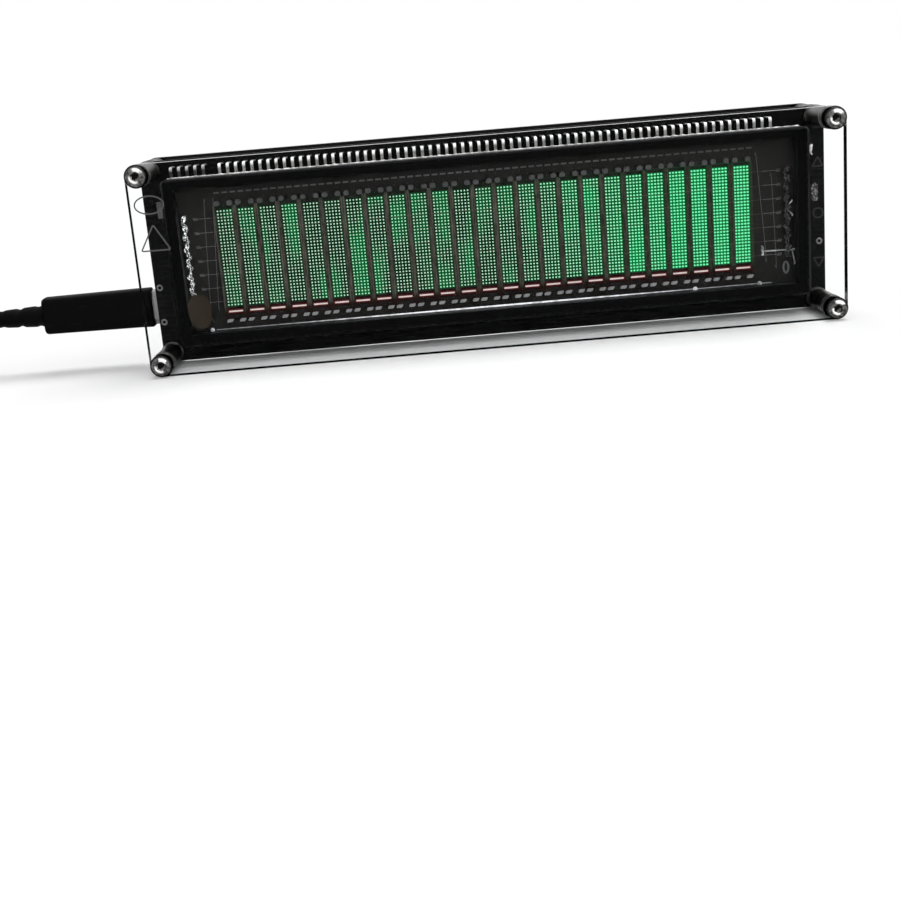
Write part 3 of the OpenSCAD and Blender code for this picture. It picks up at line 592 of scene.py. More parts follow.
@finish
def turned_metal():
    """Grey turned metal of the spacers: close rings from the lathe, and paler rings along it that
    are painted highlights.
    """
    f = Finish("turned_metal", Metallic=1.0)
    # Paler rings along the spacer: painted highlights.
    painted_ring_highlights = f.step(f.noise(2.0, 1, 0.5, (40, 1, 40)), 0.45, 0.75)
    sheet = f.mix(f.noise(2.0, 3), (0.040, 0.039, 0.038), (0.080, 0.078, 0.075))
    f.set(Base_Color=f.mix(painted_ring_highlights, sheet, (0.15, 0.147, 0.143)),
          Roughness=0.28 + 0.12 * f.noise(0.7, 3))
    return f.bump((f.y * 40.0).sine(), 0.006)


@finish
def tin(level):
    """Tinned metal, brighter or darker by level, slightly frosted and stained."""
    f = Finish("tin_%d" % round(level * 100), Metallic=1.0)
    stain = f.step(f.noise(2.2, 4, 0.6), 0.35, 0.75)
    f.set(Base_Color=f.mix(stain, (level, 0.99 * level, 0.97 * level),
                           (0.70 * level, 0.69 * level, 0.68 * level)),
          Roughness=0.22 + 0.2 * f.noise(0.4, 3))
    return f.bump(f.noise(0.25, 3), 0.003)


@finish
def shell_metal():
    """Drawn sheet of the plugs' shells: even grey with fine lines along it."""
    lines = (0.15, 2, 0.5, (30, 1, 1))
    return grained("shell_metal", (9, 2), (0.27, 0.268, 0.265), (0.33, 0.328, 0.324),
                   (0.30, 0.12, lines), (lines, 0.002), Metallic=1.0)


@finish
def pin_metal():
    """Flat pins: dull stained legs and a pale painted highlight on the bends on top, both darker on
    the pins at the left of the missing one."""
    f = Finish("pin_metal", Specular_IOR_Level=0.4)
    stain = f.step(f.noise(0.9, 3, 0.6, (1, 2, 2)), 0.42, 0.72)
    bend = f.step(f.z, PIN_HIGH[2] - 1.3, PIN_HIGH[2] - 0.5)
    dull = 1.0 - f.step(f.x, PIN_X[PIN_MISSING - 1], PIN_X[PIN_MISSING])
    leg = f.mix(stain, (0.33, 0.325, 0.315), (0.13, 0.127, 0.122))
    leg = f.mix(dull, leg, (0.055, 0.054, 0.052))
    # The bends' pale, less metallic colour is a painted highlight.
    painted_bend_highlight = bend * (1.0 - 0.4 * stain) * (1.0 - 0.45 * dull)
    f.set(Base_Color=f.mix(painted_bend_highlight, leg, (0.95, 0.95, 0.94)), Metallic=0.8 - 0.4 * bend,
          Roughness=0.26 + 0.2 * f.noise(0.3, 3))
    return f.bump(f.noise(0.2, 3), 0.01)


@finish
def grid_metal():
    """Thin sheet of the grids: brown grey with uneven upright streaks, greener to the right as
    painted light of the columns, dark but with a painted green glow beside a column, and dark red
    beside the bars as painted light of the bars."""
    f = Finish("grid_metal", Specular_IOR_Level=0.05, Emission_Strength=1.0)
    pitch = COLUMN_X[1] - COLUMN_X[0]
    away = abs(((f.x - COLUMN_X[0]) / pitch + 0.5) % 1.0 - 0.5) * pitch
    near = 1.0 - f.step(away, COLUMN_WIDTH / 2 + 0.05, COLUMN_WIDTH / 2 + 0.55)
    # Painted green glow of the columns on the sheet beside them.
    painted_green_glow = (near * (0.3 + 0.7 * f.step(f.x, 0.0, GREEN_END))
             * f.step(f.z, BAR_HIGH[2], COLUMN_LOW[2] + 0.5))
    streak = f.step(f.noise(0.9, 3, 0.6, (0.35, 1, 5)), 0.3, 0.7)
    sheet = f.mix(streak, (0.052, 0.048, 0.039), (0.160, 0.143, 0.117))
    # Greener and darker to the right: painted light of the columns.
    sheet = f.mix(0.7 * f.step(f.x, -10.0, GREEN_END), sheet, (0.030, 0.038, 0.020))
    beside = f.mix(near, sheet, (0.020, 0.019, 0.015))
    # Dark red beside the bars: painted light of the bars.
    above = f.step(f.z, BAR_LOW[2], BAR_HIGH[2] + 0.8)
    return f.set(Base_Color=f.mix(above, (0.030, 0.018, 0.015), beside),
                 Roughness=0.5 + 0.2 * f.noise(0.5, 2),
                 Emission_Color=f.mix(painted_green_glow, BLACK, (0.002, 0.042, 0.011)))


@finish
def foil():
    """Crumpled foil with painted light: pale colour and glow on its high spots as painted glints,
    dark colour between them as painted shade in the folds, both weaker at the tube's right end.
    """
    f = Finish("foil", Specular_IOR_Level=0.3, Emission_Strength=1.0)
    relief_and_painted_glint = f.step(f.noise(0.5, 1, 0.5), 0.50, 0.58)
    right = f.step(f.x, -10.0, 10.0)
    # Painted glints as pale colour and glow, weaker at the right end; the dark colour between them
    # is painted shade.
    lit = f.mix(right, (0.98, 0.98, 0.97), (0.20, 0.197, 0.194))
    glint = f.mix(right, (0.80, 0.80, 0.79), (0.045, 0.044, 0.043))
    f.set(Base_Color=f.mix(relief_and_painted_glint, (0.02, 0.019, 0.018), lit), Metallic=0.5 * relief_and_painted_glint,
          Roughness=0.25 + 0.2 * f.cells(0.3), Emission_Color=f.mix(relief_and_painted_glint, BLACK, glint))
    return f.bump(relief_and_painted_glint + f.noise(0.5, 3), 0.06)


@finish
def gleam(level, reach=0.0):
    """Bare metal with painted glints: pale colour and glow that come and go along it, stronger by
    level. Where reach is set, a steady painted glow joins them, and both fade up to that distance
    from the tube's middle."""
    f = Finish("gleam_%d" % round(level * 100), Metallic=0.3, Emission_Strength=1.0)
    # Painted glints: pale colour and glow.
    glint = f.step(f.noise(1.6, 3, 0.6), 0.35, 0.68)
    if reach:
        glint = (0.5 + glint) * (1.0 - 0.85 * f.step(abs(f.x), 0.3 * reach, reach))
    f.set(Base_Color=f.mix(glint, (0.30, 0.297, 0.29), (0.80, 0.795, 0.785)),
          Roughness=0.3 + 0.2 * f.noise(0.3, 2),
          Emission_Color=f.mix(glint, (0.08 * level,) * 3, (level,) * 3))
    return f.bump(f.noise(0.2, 2), 0.01)


@finish
def tab_metal(level):
    """Small stamped tabs and contacts: grey, duller or brighter by level, with a fine grain."""
    low, high = 0.6 * level, 1.25 * level
    return grained("tab_metal_%d" % round(level * 100), (0.5, 3), (low, low * 0.97, low * 0.94),
                   (high, high * 0.98, high * 0.96), (0.4, 0.2, (0.3, 2)), ((0.2, 2), 0.01),
                   Metallic=0.2, Specular_IOR_Level=0.4)


@finish
def phosphor_ground():
    """Unlit coating between the dots: deep green that glows more in patches and to the right."""
    f = powder("phosphor_ground", (0.002, 0.008, 0.004), (0.004, 0.014, 0.007))
    patch = f.step(f.noise(*PATCHES), 0.42, 0.68)
    level = 0.07 + 0.5 * patch + 0.85 * f.step(f.x, 0.0, GREEN_END)
    return f.set(Emission_Color=f.mix(level.least(1.0), (0.0, 0.003, 0.001), (0.0, 0.19, 0.038)))


@finish
def phosphor_dots(left, right):
    """Lit dots: nearly white with a green tint, greener towards the right and in slow patches."""
    f = powder("phosphor_dots", (0.02, 0.05, 0.03), (0.03, 0.07, 0.04), 1.15, size=0.2)
    green = f.step(f.x, -15.0, GREEN_END) + 0.55 * f.step(f.noise(*PATCHES), 0.48, 0.72)
    spark = 0.82 + 0.36 * f.noise(0.75, 2)
    return f.set(Emission_Color=f.mix(spark, BLACK, f.mix(green.least(1.0), left, right)))


@finish
def bar_ground():
    """Dark red glow round the lit bars, weaker away from them."""
    f = powder("bar_ground", (0.012, 0.006, 0.006), (0.020, 0.010, 0.009), gloss=0.1)
    glow = (1.0 - f.step(abs(f.z - BAR_Z), 0.15, 0.8)) * (0.6 + 0.6 * f.noise(0.8, 2))
    return f.set(Emission_Color=f.mix(glow, BLACK, (0.115, 0.013, 0.011)))


@finish
def bar_core(colour):
    """Lit bars: pink white, a little uneven."""
    f = powder("bar_core", (0.05, 0.03, 0.03), (0.07, 0.05, 0.05), gloss=0.1)
    dim = tuple(0.62 * c for c in colour)
    return f.set(Emission_Color=f.mix(f.noise(1.1, 3), dim, colour))


@finish
def hot_wire():
    """Heated wires: dull red brown."""
    f = grained("hot_wire", (0.6, 3), (0.16, 0.13, 0.11), (0.24, 0.20, 0.18), (0.4, 0.2, (0.3,)),
                Metallic=0.6, Emission_Strength=1.0)
    return f.set(Emission_Color=f.mix(f.noise(2.0), (0.012, 0.004, 0.002), (0.03, 0.009, 0.004)))


@finish
def getter_film():
    """Brown film on the glass with a fine speckle."""
    speck = (0.22, 3, 0.7)
    return grained("getter_film", speck, (0.014, 0.0085, 0.0045), (0.058, 0.039, 0.021),
                   (0.4, 0.3, speck), (speck, 0.01), Specular_IOR_Level=0.25)


@finish
def dark_foam():
    """Black foam strip with open cells, darker in their pits as painted shade."""
    f = Finish("dark_foam", Specular_IOR_Level=0.1)
    cell = f.cells(0.35)
    # Darker in the cells' pits: painted shade.
    f.set(Base_Color=f.mix(cell, (0.006, 0.006, 0.006), (0.03, 0.03, 0.03)),
          Roughness=0.85 + 0.1 * f.noise(0.5))
    return f.bump(cell, 0.12)


@finish
def moulded_plastic(level):
    """Dark moulded plastic, paler by level, with a fine spark-eroded grain."""
    grain = (0.12, 3, 0.6)
    return grained("moulded_plastic_%d" % round(level * 1000), (2.5, 3),
                   (level * 0.8, level * 0.8, level * 0.82),
                   (level * 1.3, level * 1.28, level * 1.28), (0.48, 0.18, grain), (grain, 0.02),
                   Specular_IOR_Level=0.35)


@finish
def lead_rubber():
    """Soft black plastic of the lead and its plugs: matt, fine grain, grey scuffs and dust."""
    f = Finish("lead_rubber", Specular_IOR_Level=0.04)
    grain = f.noise(0.15, 3, 0.6)
    scuff = f.step(f.noise(2.2, 4, 0.65, (3, 1, 1)), 0.6, 0.78)
    ground = f.mix(f.noise(6, 2), (0.0020, 0.0019, 0.0020), (0.0036, 0.0034, 0.0035))
    f.set(Base_Color=f.mix(0.4 * scuff, ground, (0.020, 0.019, 0.019)), Roughness=0.5 + 0.2 * grain)
    return f.bump(grain, 0.015)


@finish
def strap_cloth():
    """Hook-and-loop strap: short loops in rows, darker between the loops as painted shade."""
    f = Finish("strap_cloth", Specular_IOR_Level=0.1)
    loops = f.cells(0.3)
    # Darker between the loops: painted shade.
    f.set(Base_Color=f.mix(loops, (0.035, 0.035, 0.037), (0.006, 0.006, 0.0065)),
          Roughness=0.8 + 0.15 * loops)
    return f.bump(0.5 * (f.x * 12.0).sine() - loops, 0.15)


@finish
def print_ink(level):
    """Printed ink, darker or paler by level, a little uneven."""
    return grained("print_ink_%d" % round(level * 100), (0.25, 3, 0.7), (0.6 * level,) * 3,
                   (1.4 * level,) * 3, (0.5, 0.2, (0.4,)), ((0.2, 2), 0.006),
                   Specular_IOR_Level=0.2)


@finish
def white_ink():
    """White legend ink on the board's back, thinner in places."""
    return grained("white_ink", (0.3, 3, 0.7), (0.50, 0.50, 0.49), (0.72, 0.72, 0.70),
                   (0.55, 0.2, (0.4,)), ((0.2, 2), 0.006), Specular_IOR_Level=0.25)


@finish
def ferrite():
    """Grey ferrite cover of the choke, with a fine sintered grain."""
    grain = (0.25, 4, 0.7)
    return grained("ferrite", grain, (0.025, 0.025, 0.026), (0.065, 0.064, 0.063),
                   (0.55, 0.25, grain), (grain, 0.02), Specular_IOR_Level=0.3)


@finish
def can_metal():
    """Bright metal of the microphone's can and the coin cell: fine drawing lines, and a dark ring
    near the cell's rim, painted shade of a groove."""
    f = Finish("can_metal", Metallic=1.0)
    drawn = f.noise(0.2, 2, 0.5, (1, 12, 1))
    dx, dz = f.x - CELL_X, f.z - CELL_Z
    # Dark ring near the cell's rim: painted shade of a groove.
    groove = 1.0 - f.step(abs((dx * dx + dz * dz) ** 0.5 - CELL_GROOVE), 0.1, 0.3)
    sheet = f.mix(f.noise(1.4, 3), (0.34, 0.34, 0.34), (0.46, 0.457, 0.453))
    f.set(Base_Color=f.mix(groove, sheet, (0.12, 0.119, 0.117)), Roughness=0.24 + 0.16 * drawn)
    return f.bump(drawn, 0.006)


@finish
def capacitor_can():
    """Aluminium capacitor cans with a black segment on top above the minus lead."""
    f = Finish("capacitor_can", Metallic=0.9)
    mark = (f.step(f.z, CAPACITOR_Z + 1.6, CAPACITOR_Z + 1.7) * f.step(f.y, 10.6, 10.7)
            * (1.0 - f.step(f.nearest(CAPACITOR_X), 2.9, 3.0)))
    drawn = f.noise(0.25, 2, 0.5, (1, 12, 1))
    sheet = f.mix(f.noise(1.2, 3), (0.36, 0.36, 0.36), (0.48, 0.477, 0.473))
    f.set(Base_Color=f.mix(mark, sheet, (0.015, 0.015, 0.016)), Roughness=0.26 + 0.16 * drawn)
    return f.bump(drawn, 0.006)


@finish
def chip_package(half, centres, centre_z):
    """Chips at places along X: black moulded bodies, and tinned legs outside their edges."""
    f = Finish("chip_package_%d" % round(half * 10), Specular_IOR_Level=0.35)
    leg = f.step(f.nearest(centres).most(abs(f.z - centre_z)), half - 0.02, half + 0.02)
    grain = f.noise(0.12, 3, 0.6)
    body = f.mix(f.noise(2.0, 3), (0.012, 0.012, 0.012), (0.022, 0.022, 0.022))
    f.set(Base_Color=f.mix(leg, body, (0.62, 0.61, 0.60)), Metallic=leg,
          Roughness=0.55 - 0.25 * leg + 0.15 * grain)
    return f.bump(grain, 0.02)


@finish
def ceramic():
    """Rows of small ceramic parts: tan or black bodies with tinned ends."""
    f = Finish("ceramic", Specular_IOR_Level=0.4)
    half = SMALL_PART_PITCH / 2
    end = f.step(abs((f.x - SMALL_PART_X + half) % SMALL_PART_PITCH - half), 0.48, 0.52)
    body = f.mix(f.step(f.noise(2.6, 0), 0.45, 0.55), (0.17, 0.115, 0.07), (0.03, 0.03, 0.032))
    f.set(Base_Color=f.mix(end, body, (0.62, 0.61, 0.60)), Metallic=end,
          Roughness=0.35 + 0.2 * f.noise(0.3, 2))
    return f.bump(f.noise(0.2, 3), 0.01)


@finish
def white_plastic():
    """White moulded insert of the far plug, a little yellowed."""
    return grained("white_plastic", (3, 3), (0.66, 0.65, 0.62), (0.74, 0.73, 0.71),
                   (0.42, 0.15, (0.3, 2)), ((0.2, 2), 0.008), Specular_IOR_Level=0.4)


@finish
def pale_floor(seen):
    """Pale matt floor with a faint grain. What the camera, gloss and glass see is lifted a little
    towards white, but not below the display, which is left darker as painted shade over its shadow."""
    f = grained("pale_floor", (3, 3), (0.80, 0.80, 0.80), (0.82, 0.82, 0.82), (0.85, 0.1, (10,)),
                Specular_IOR_Level=0.0, Emission_Strength=1.0)
    # No lift below the display: painted shade under it.
    clear = f.step((abs(f.x) - PANEL_HIGH[0]).most(abs(f.y) - REAR_HIGH[1]), -1.0, 0.0)
    return f.set(Emission_Color=f.mix(f.looked_at() * clear, BLACK, (seen,) * 3))


# Sizes and colours that a user would change

class StageLooks(bpy.types.PropertyGroup):
    """Camera, floor and light."""

    camera_place: FloatVectorProperty(
        name="Camera place", description="Where the camera stands", size=3,
        default=(-0.01760, -0.35273, 0.06596), subtype="TRANSLATION", unit="LENGTH")
    camera_turn: FloatVectorProperty(
        name="Camera turn", description="Yaw, downward pitch and roll of the camera", size=3,
        default=(math.radians(0.528), math.radians(15.081), math.radians(-4.805)),
        subtype="EULER", unit="ROTATION")
    camera_lens: FloatProperty(
        name="Lens", description="Focal length on a sensor 36 mm wide", default=55.76,
        subtype="DISTANCE_CAMERA")
    floor_size: FloatProperty(
        name="Floor size", description="Width of the square floor", default=30.0, unit="LENGTH")
    floor_lift: FloatProperty(
        name="Floor lift", description="Light added to the floor where it is looked at",
        default=0.16)
    ambient: FloatProperty(
        name="Ambient light", description="Strength of the light from all round", default=0.32)
    key_light: FloatProperty(
        name="Key light", description="Strength of the soft light from above", default=2.2)


class LeadLooks(bpy.types.PropertyGroup):
    """Supply lead, its hank and its plugs."""

    diameter: FloatProperty(
        name="Lead diameter", description="Thickness of the lead", default=0.0035, unit="LENGTH")
    length: FloatProperty(
        name="Lead length", description="Real length of the lead", default=1.13, unit="LENGTH")
    strap_width: FloatProperty(
        name="Strap width", description="Width of the strap round the hank", default=0.008,
        unit="LENGTH")


class TubeLooks(bpy.types.PropertyGroup):
    """What is lit in the tube."""

    dots_across: IntProperty(
        name="Dots across", description="Dots side by side in a column", default=5, min=1)
    dot_rows: IntProperty(
        name="Dot rows", description="Rows of dots in a column", default=31, min=1)
    dot_pitch: FloatProperty(
        name="Dot pitch", description="Distance between dots side by side", default=0.00080,
        unit="LENGTH")
    row_margin: FloatProperty(
        name="Row margin", description="From a column's end to the middle of its last row",
        default=0.0004, unit="LENGTH")
    dot_size: FloatProperty(
        name="Dot size", description="Width of a dot at the left", default=0.00037, unit="LENGTH")
    dot_growth: FloatProperty(
        name="Dot growth", description="How much wider the dots at the right are than at the left",
        default=0.6)
    left_glow: FloatVectorProperty(
        name="Left glow", description="Light of the dots at the left", size=3,
        default=(0.60, 0.86, 0.64), subtype="COLOR", min=0.0, max=1.0)
    right_glow: FloatVectorProperty(
        name="Right glow", description="Light of the dots at the right", size=3,
        default=(0.20, 1.0, 0.47), subtype="COLOR", min=0.0, max=1.0)
    bar_glow: FloatVectorProperty(
        name="Bar glow", description="Light of the bars below the columns", size=3,
        default=(1.0, 0.85, 0.80), subtype="COLOR", min=0.0, max=1.0)


# Pieces

class PieceOperator(bpy.types.Operator):
    """What the operators below share."""

    bl_options = {"INTERNAL"}


class DISPLAY_OT_studio(PieceOperator):
    """Camera at the photograph's place, pale floor and soft light."""

    bl_idname = "display.studio"
    bl_label = "Camera, floor and light"

    sensor_width = 36.0
    clip_range = (0.01, 100.0)
    floor_points = 9
    floor_height = -0.00002

    # Each lamp's tilt, turn and spread in degrees
    key_aim = (-24, -30, 45)
    fill_aim = (48, 30, 80)
    fill_light = 0.55

    def execute(self, context):
        look = context.scene.stage_looks
        self.camera(context, look)
        self.floor(context, look)
        self.light(context, look)
        return {"FINISHED"}

    def camera(self, context, look):
        """The camera's right, forward and up are the rows of roll about Y times pitch about X times
        yaw about Z."""
        yaw, pitch, roll = look.camera_turn
        right, forward, up = (Matrix.Rotation(roll, 3, "Y") @ Matrix.Rotation(pitch, 3, "X")
                              @ Matrix.Rotation(yaw, 3, "Z"))
        place = Matrix((right, up, -forward)).transposed().to_4x4()
        place.translation = look.camera_place
        lens = bpy.data.cameras.new("camera")
        lens.sensor_width = self.sensor_width
        lens.lens = look.camera_lens
        lens.clip_start, lens.clip_end = self.clip_range
        camera = bpy.data.objects.new("camera", lens)
        camera.matrix_world = place
        context.scene.collection.objects.link(camera)
        context.scene.camera = camera

    def floor(self, context, look):
        """A flat square grid just below z = 0."""
        count = self.floor_points
        across = np.linspace(-look.floor_size / 2, look.floor_size / 2, count)
        x, y = np.meshgrid(across, across)
        mesh = bpy.data.meshes.new("floor")
        mesh.from_pydata(spread(x, y, self.floor_height).tolist(), [], quads(count, count).tolist())
        mesh.materials.append(pale_floor(round(look.floor_lift, 4)))
        floor = bpy.data.objects.new("floor", mesh)
        context.scene.collection.objects.link(floor)

    def light(self, context, look):
        """White all round for the camera, gloss and glass, softer for what it lights, and two broad
        suns from above."""
        world = bpy.data.worlds.new("studio")
        world.use_nodes = True
        context.scene.world = world
        tree = Tree(world.node_tree)
        ground = world.node_tree.nodes["Background"]
        ground.inputs["Color"].default_value = (1, 1, 1, 1)
        strength = look.ambient + (1.0 - look.ambient) * tree.looked_at()
        tree.feed(ground.inputs["Strength"], strength)
        for name, energy, aim in (("key", look.key_light, self.key_aim),
                                  ("fill", self.fill_light, self.fill_aim)):
            tilt, turn, width = map(math.radians, aim)
            sun = bpy.data.lights.new(name, "SUN")
            sun.energy = energy
            sun.angle = width
            lamp = bpy.data.objects.new(name, sun)
            lamp.rotation_euler = (tilt, 0, turn)
            context.scene.collection.objects.link(lamp)
        context.scene.view_settings.view_transform = "Standard"


class DISPLAY_OT_lead(PieceOperator):
    """Lead from its plug into a tied hank, with both plugs and the strap."""

    bl_idname = "display.lead"
    bl_label = "Supply lead"

    # The route's points are those of the part's source
    out_route = ((-127, 4.9, 14.4), (-129, 4.9, 14.4), (-132.9, 5.4, 13.9), (-136.8, 6.6, 12.6),
                 (-140.7, 8.05, 11.1), (-144.6, 9.25, 9.9), (-148.5, 9.75, 9.35))
    far_route = ((-148.5, 4.5, 2.35), (-153.5, 3.2, 2.6), (-158, 0.4, 3.15), (-162.5, -2.95, 3.8),
                 (-167, -5.8, 4.35), (-171.5, -7, 4.6), (-173.5, -7, 4.6))
    hank_centre = (-180.5, -7.0)
    hank_half_run = 32.0
    hank_radii = (11.5, 16.75)
    hank_layers = (9.35, 5.85, 2.35)
    hank_runs = 20
    run_points = 26
    end_points = 40
    route_points = 620
    cord_sides = 14

    # For each plug: first word of its nodes, name of its grip's piece, direction along X, half
    # sizes at both ends, radii of the ends, squareness of the section and number of ribs
    plugs = (("plug", "plug_body", -1, ((3.0, 4.9), (3.0, 4.6)), (0.35, 0.9), 6.0, 5),
             ("far", "far_plug_body", 1, ((7.7, 4.0), (6.4, 3.6)), (0.5, 1.4), 5.0, 3))
    grip_sides = 40
    grip_stations = 9
    sleeve_radii = (2.8, 2.15)
    sleeve_sides = 28
    rib_stations = 8
    rib_depth = 0.14
    strap_thickness = 0.5
    strap_corner = 4.6
    strap_edge = 0.12
    shell_edge = 0.15
    insert_edge = 0.1

    def rings(self, x, place, half_y, half_z, outline):
        """Rings along X about a place: an outline times the half sizes of each station."""
        return skin(np.stack(np.broadcast_arrays(
            x[:, None], place[1] + half_y[:, None] * outline[:, 0],
            place[2] + half_z[:, None] * outline[:, 1]), -1))

    def grip(self, x0, x1, place, halves, radii, power):
        """A bar with rings of |y/a|^power + |z/b|^power = 1. Its half sizes a and b go evenly from
        the first pair to the second, and a quarter circle draws them in at both ends."""
        bow = quarter_bow(5)[:-1]
        length, flat, (first, last) = abs(x1 - x0), np.linspace(0, 1, self.grip_stations), radii
        s = np.concatenate([first * (1 - bow[:, 0]), first + (length - first - last) * flat,
                            length - last * (1 - bow[::-1, 0])])
        inset = np.concatenate([first * (1 - bow[:, 1]), np.zeros(len(flat)),
                                last * (1 - bow[::-1, 1])])
        start, end = np.array(halves)
        half = start + (end - start) * (s / length)[:, None] - inset[:, None]
        outline = circle(1.0, self.grip_sides)
        outline = np.sign(outline) * np.abs(outline) ** (2 / power)
        return self.rings(x0 + np.sign(x1 - x0) * s, place, half[:, 0], half[:, 1], outline)

    def sleeve(self, x0, x1, place, ribs):
        """Strain relief: a taper with round-bottomed grooves that are shallower near both ends,
        r = taper * (1 - depth * wave^2 * fade)."""
        t = np.linspace(0, 1, ribs * self.rib_stations + 1)
        r0, r1 = self.sleeve_radii
        taper = r0 + (r1 - r0) * t
        groove = np.clip(np.sin(np.pi * ribs * t), 0, 1) ** 2 * np.sin(np.pi * t) ** 0.3
        radius = taper - self.rib_depth * taper * groove
        return self.rings(x0 + (x1 - x0) * t, place, radius, radius, circle(1.0, self.sleeve_sides))

    def plug(self, word, name, direction, halves, radii, power, ribs):
        """Grip and sleeve of one plug, each from the end that the direction passes first."""
        nodes = word + "_grip", word + "_sleeve"
        place = node_middle(nodes[0])
        grip_x, sleeve_x = ([corner[0] for corner in node_box(node)][::direction] for node in nodes)
        parts = (self.grip(*grip_x, place, halves, radii, power),
                 self.sleeve(*sleeve_x, place, ribs))
        return [put(piece, [part], lead_rubber(), (node,), "usb_lead")
                for piece, part, node in zip((name, word + "_relief"), parts, nodes)]

    def route(self):
        """Out of the plug, twenty runs and bends of the hank, and in to the far plug. Runs and
        bends take turns: back run, left bend, front run, right bend. The radius goes in, out and in
        again over six of them each, with one on the way down to the next layer."""
        u = np.linspace(0, self.hank_runs, self.hank_runs * self.run_points + 1)
        whole = np.minimum(u.astype(int), self.hank_runs - 1)
        kind, t = whole % 4, u - whole
        small, large = self.hank_radii
        top, middle, low = self.hank_layers
        marks = (0, 6, 7, 13, 14, 20)
        r = np.interp(u, marks, (large, small, small, large, large, small))
        z = np.interp(u, marks, (top, top, middle, middle, low, low))
        run = self.hank_half_run
        bend = np.where(kind == 1, np.pi / 2, -np.pi / 2) + np.pi * t
        x = np.select([kind == 0, kind == 1, kind == 2],
                      [run - 2 * run * t, -run + r * np.cos(bend), -run + 2 * run * t],
                      run + r * np.cos(bend))
        y = np.select([kind == 0, kind == 2], [r, -r], r * np.sin(bend))
        hank = spread(self.hank_centre[0] + x, self.hank_centre[1] + y, z)
        ends = [through(points, self.end_points) for points in (self.out_route, self.far_route)]
        return evenly(np.vstack([ends[0][:-1], hank, ends[1][1:]]), self.route_points)

    def strap(self, look):
        """Flat band round the hank: a rectangle with round corners as the closed path."""
        low, high = node_box("lead_tie")
        middle = node_middle("lead_tie")
        edge = rectangle(high[1] - low[1] - self.strap_thickness,
                         high[2] - low[2] - self.strap_thickness, self.strap_corner, 8)
        loop = spread(middle[0], edge[:, 0] + middle[1], edge[:, 1] + middle[2])
        section = rectangle(self.strap_thickness, look.strap_width / MM, self.strap_edge, 1)
        return put("hank_strap", [sweep(loop, section, (1, 0, 0), closed=True)], strap_cloth(),
                   ("lead_tie",), "usb_lead")

    def execute(self, context):
        look = context.scene.lead_looks
        path = self.route()
        covers = [piece for values in self.plugs for piece in self.plug(*values)]
        strap = self.strap(look)
        section = circle(look.diameter / MM / 2, self.cord_sides)
        cord = put("lead_cord", [sweep(path, section, (0, 0, 1))], lead_rubber(),
                   ("lead", "lead_hank", "far_lead"), "usb_lead")
        metal = [dress(n, shell_metal(), self.shell_edge) for n in ("plug_shell", "far_shell")]
        insert = dress("far_insert", white_plastic(), self.insert_edge)
        return {"FINISHED"}


class DISPLAY_OT_panels(PieceOperator):
    """Panels with softened edges, the rear one with a black border, and the front one's marks."""

    bl_idname = "display.panels"
    bl_label = "Panels and marks"

    panel_edge = 0.22
    rear_border = 2.0
    ink = 0.03
    line = 0.34

    # Places along X and from the panel's middle up, and sizes. A triangle's are base, height and
    # corner.
    oval_place, oval_half = (-80.8, 16.0), (3.45, 2.1)
    triangle_place, triangle_size = (-80.5, 5.2), (7.0, 6.1, 0.5)
    key_x, key_z = 78.7, (13.0, 0.8, -11.1)
    key_size, key_ring = (2.5, 2.2, 0.25), 1.15

    def execute(self, context):
        for node, border in (("front_panel", 0.0), ("rear_panel", self.rear_border)):
            panel = dress(node, acrylic(border), self.panel_edge)
            panel.visible_shadow = False
        outlines, keys = self.marks()
        put("panel_marks", outlines, print_ink(0.12))
        put("key_marks", keys, print_ink(0.03))
        return {"FINISHED"}

    def loop(self, edge, x, rise):
        """An outline printed on the panel's front."""
        place = (x, PANEL_LOW[1] - self.ink / 2, MIDDLE_Z + rise)
        return printed_line(edge, place, self.line, self.ink)

    def triangle(self, base, height, corner):
        """Outline of a triangle with its base at the bottom, its corners rounded by small arcs."""
        tips = np.array([[-base / 2, 0], [base / 2, 0], [0, height]])
        towards = np.roll(tips, 1, 0) - tips, np.roll(tips, -1, 0) - tips
        starts, ends = tips + unit(towards[0]) * corner, tips + unit(towards[1]) * corner
        t = np.linspace(0, 1, 5)[None, :, None]
        arcs = (1 - t)**2 * starts[:, None] + 2 * t * (1 - t) * tips[:, None] + t**2 * ends[:, None]
        sides = np.linspace(0, 1, 6)[None, 1:-1, None]
        runs = ends[:, None] * (1 - sides) + np.roll(starts, -1, 0)[:, None] * sides
        return np.concatenate([arcs, runs], 1).reshape(-1, 2)

    def marks(self):
        """Oval and triangle at the left, and triangle up, ring and triangle down at the right."""
        oval = circle(1.0, 48) * np.array(self.oval_half)
        outlines = [self.loop(oval, *self.oval_place),
                    self.loop(self.triangle(*self.triangle_size), *self.triangle_place)]
        up = self.triangle(*self.key_size) - (0, self.key_size[1] / 2)
        shapes = (up, circle(self.key_ring, 36), up * (1, -1))
        return outlines, [self.loop(s, self.key_x, z) for s, z in zip(shapes, self.key_z)]


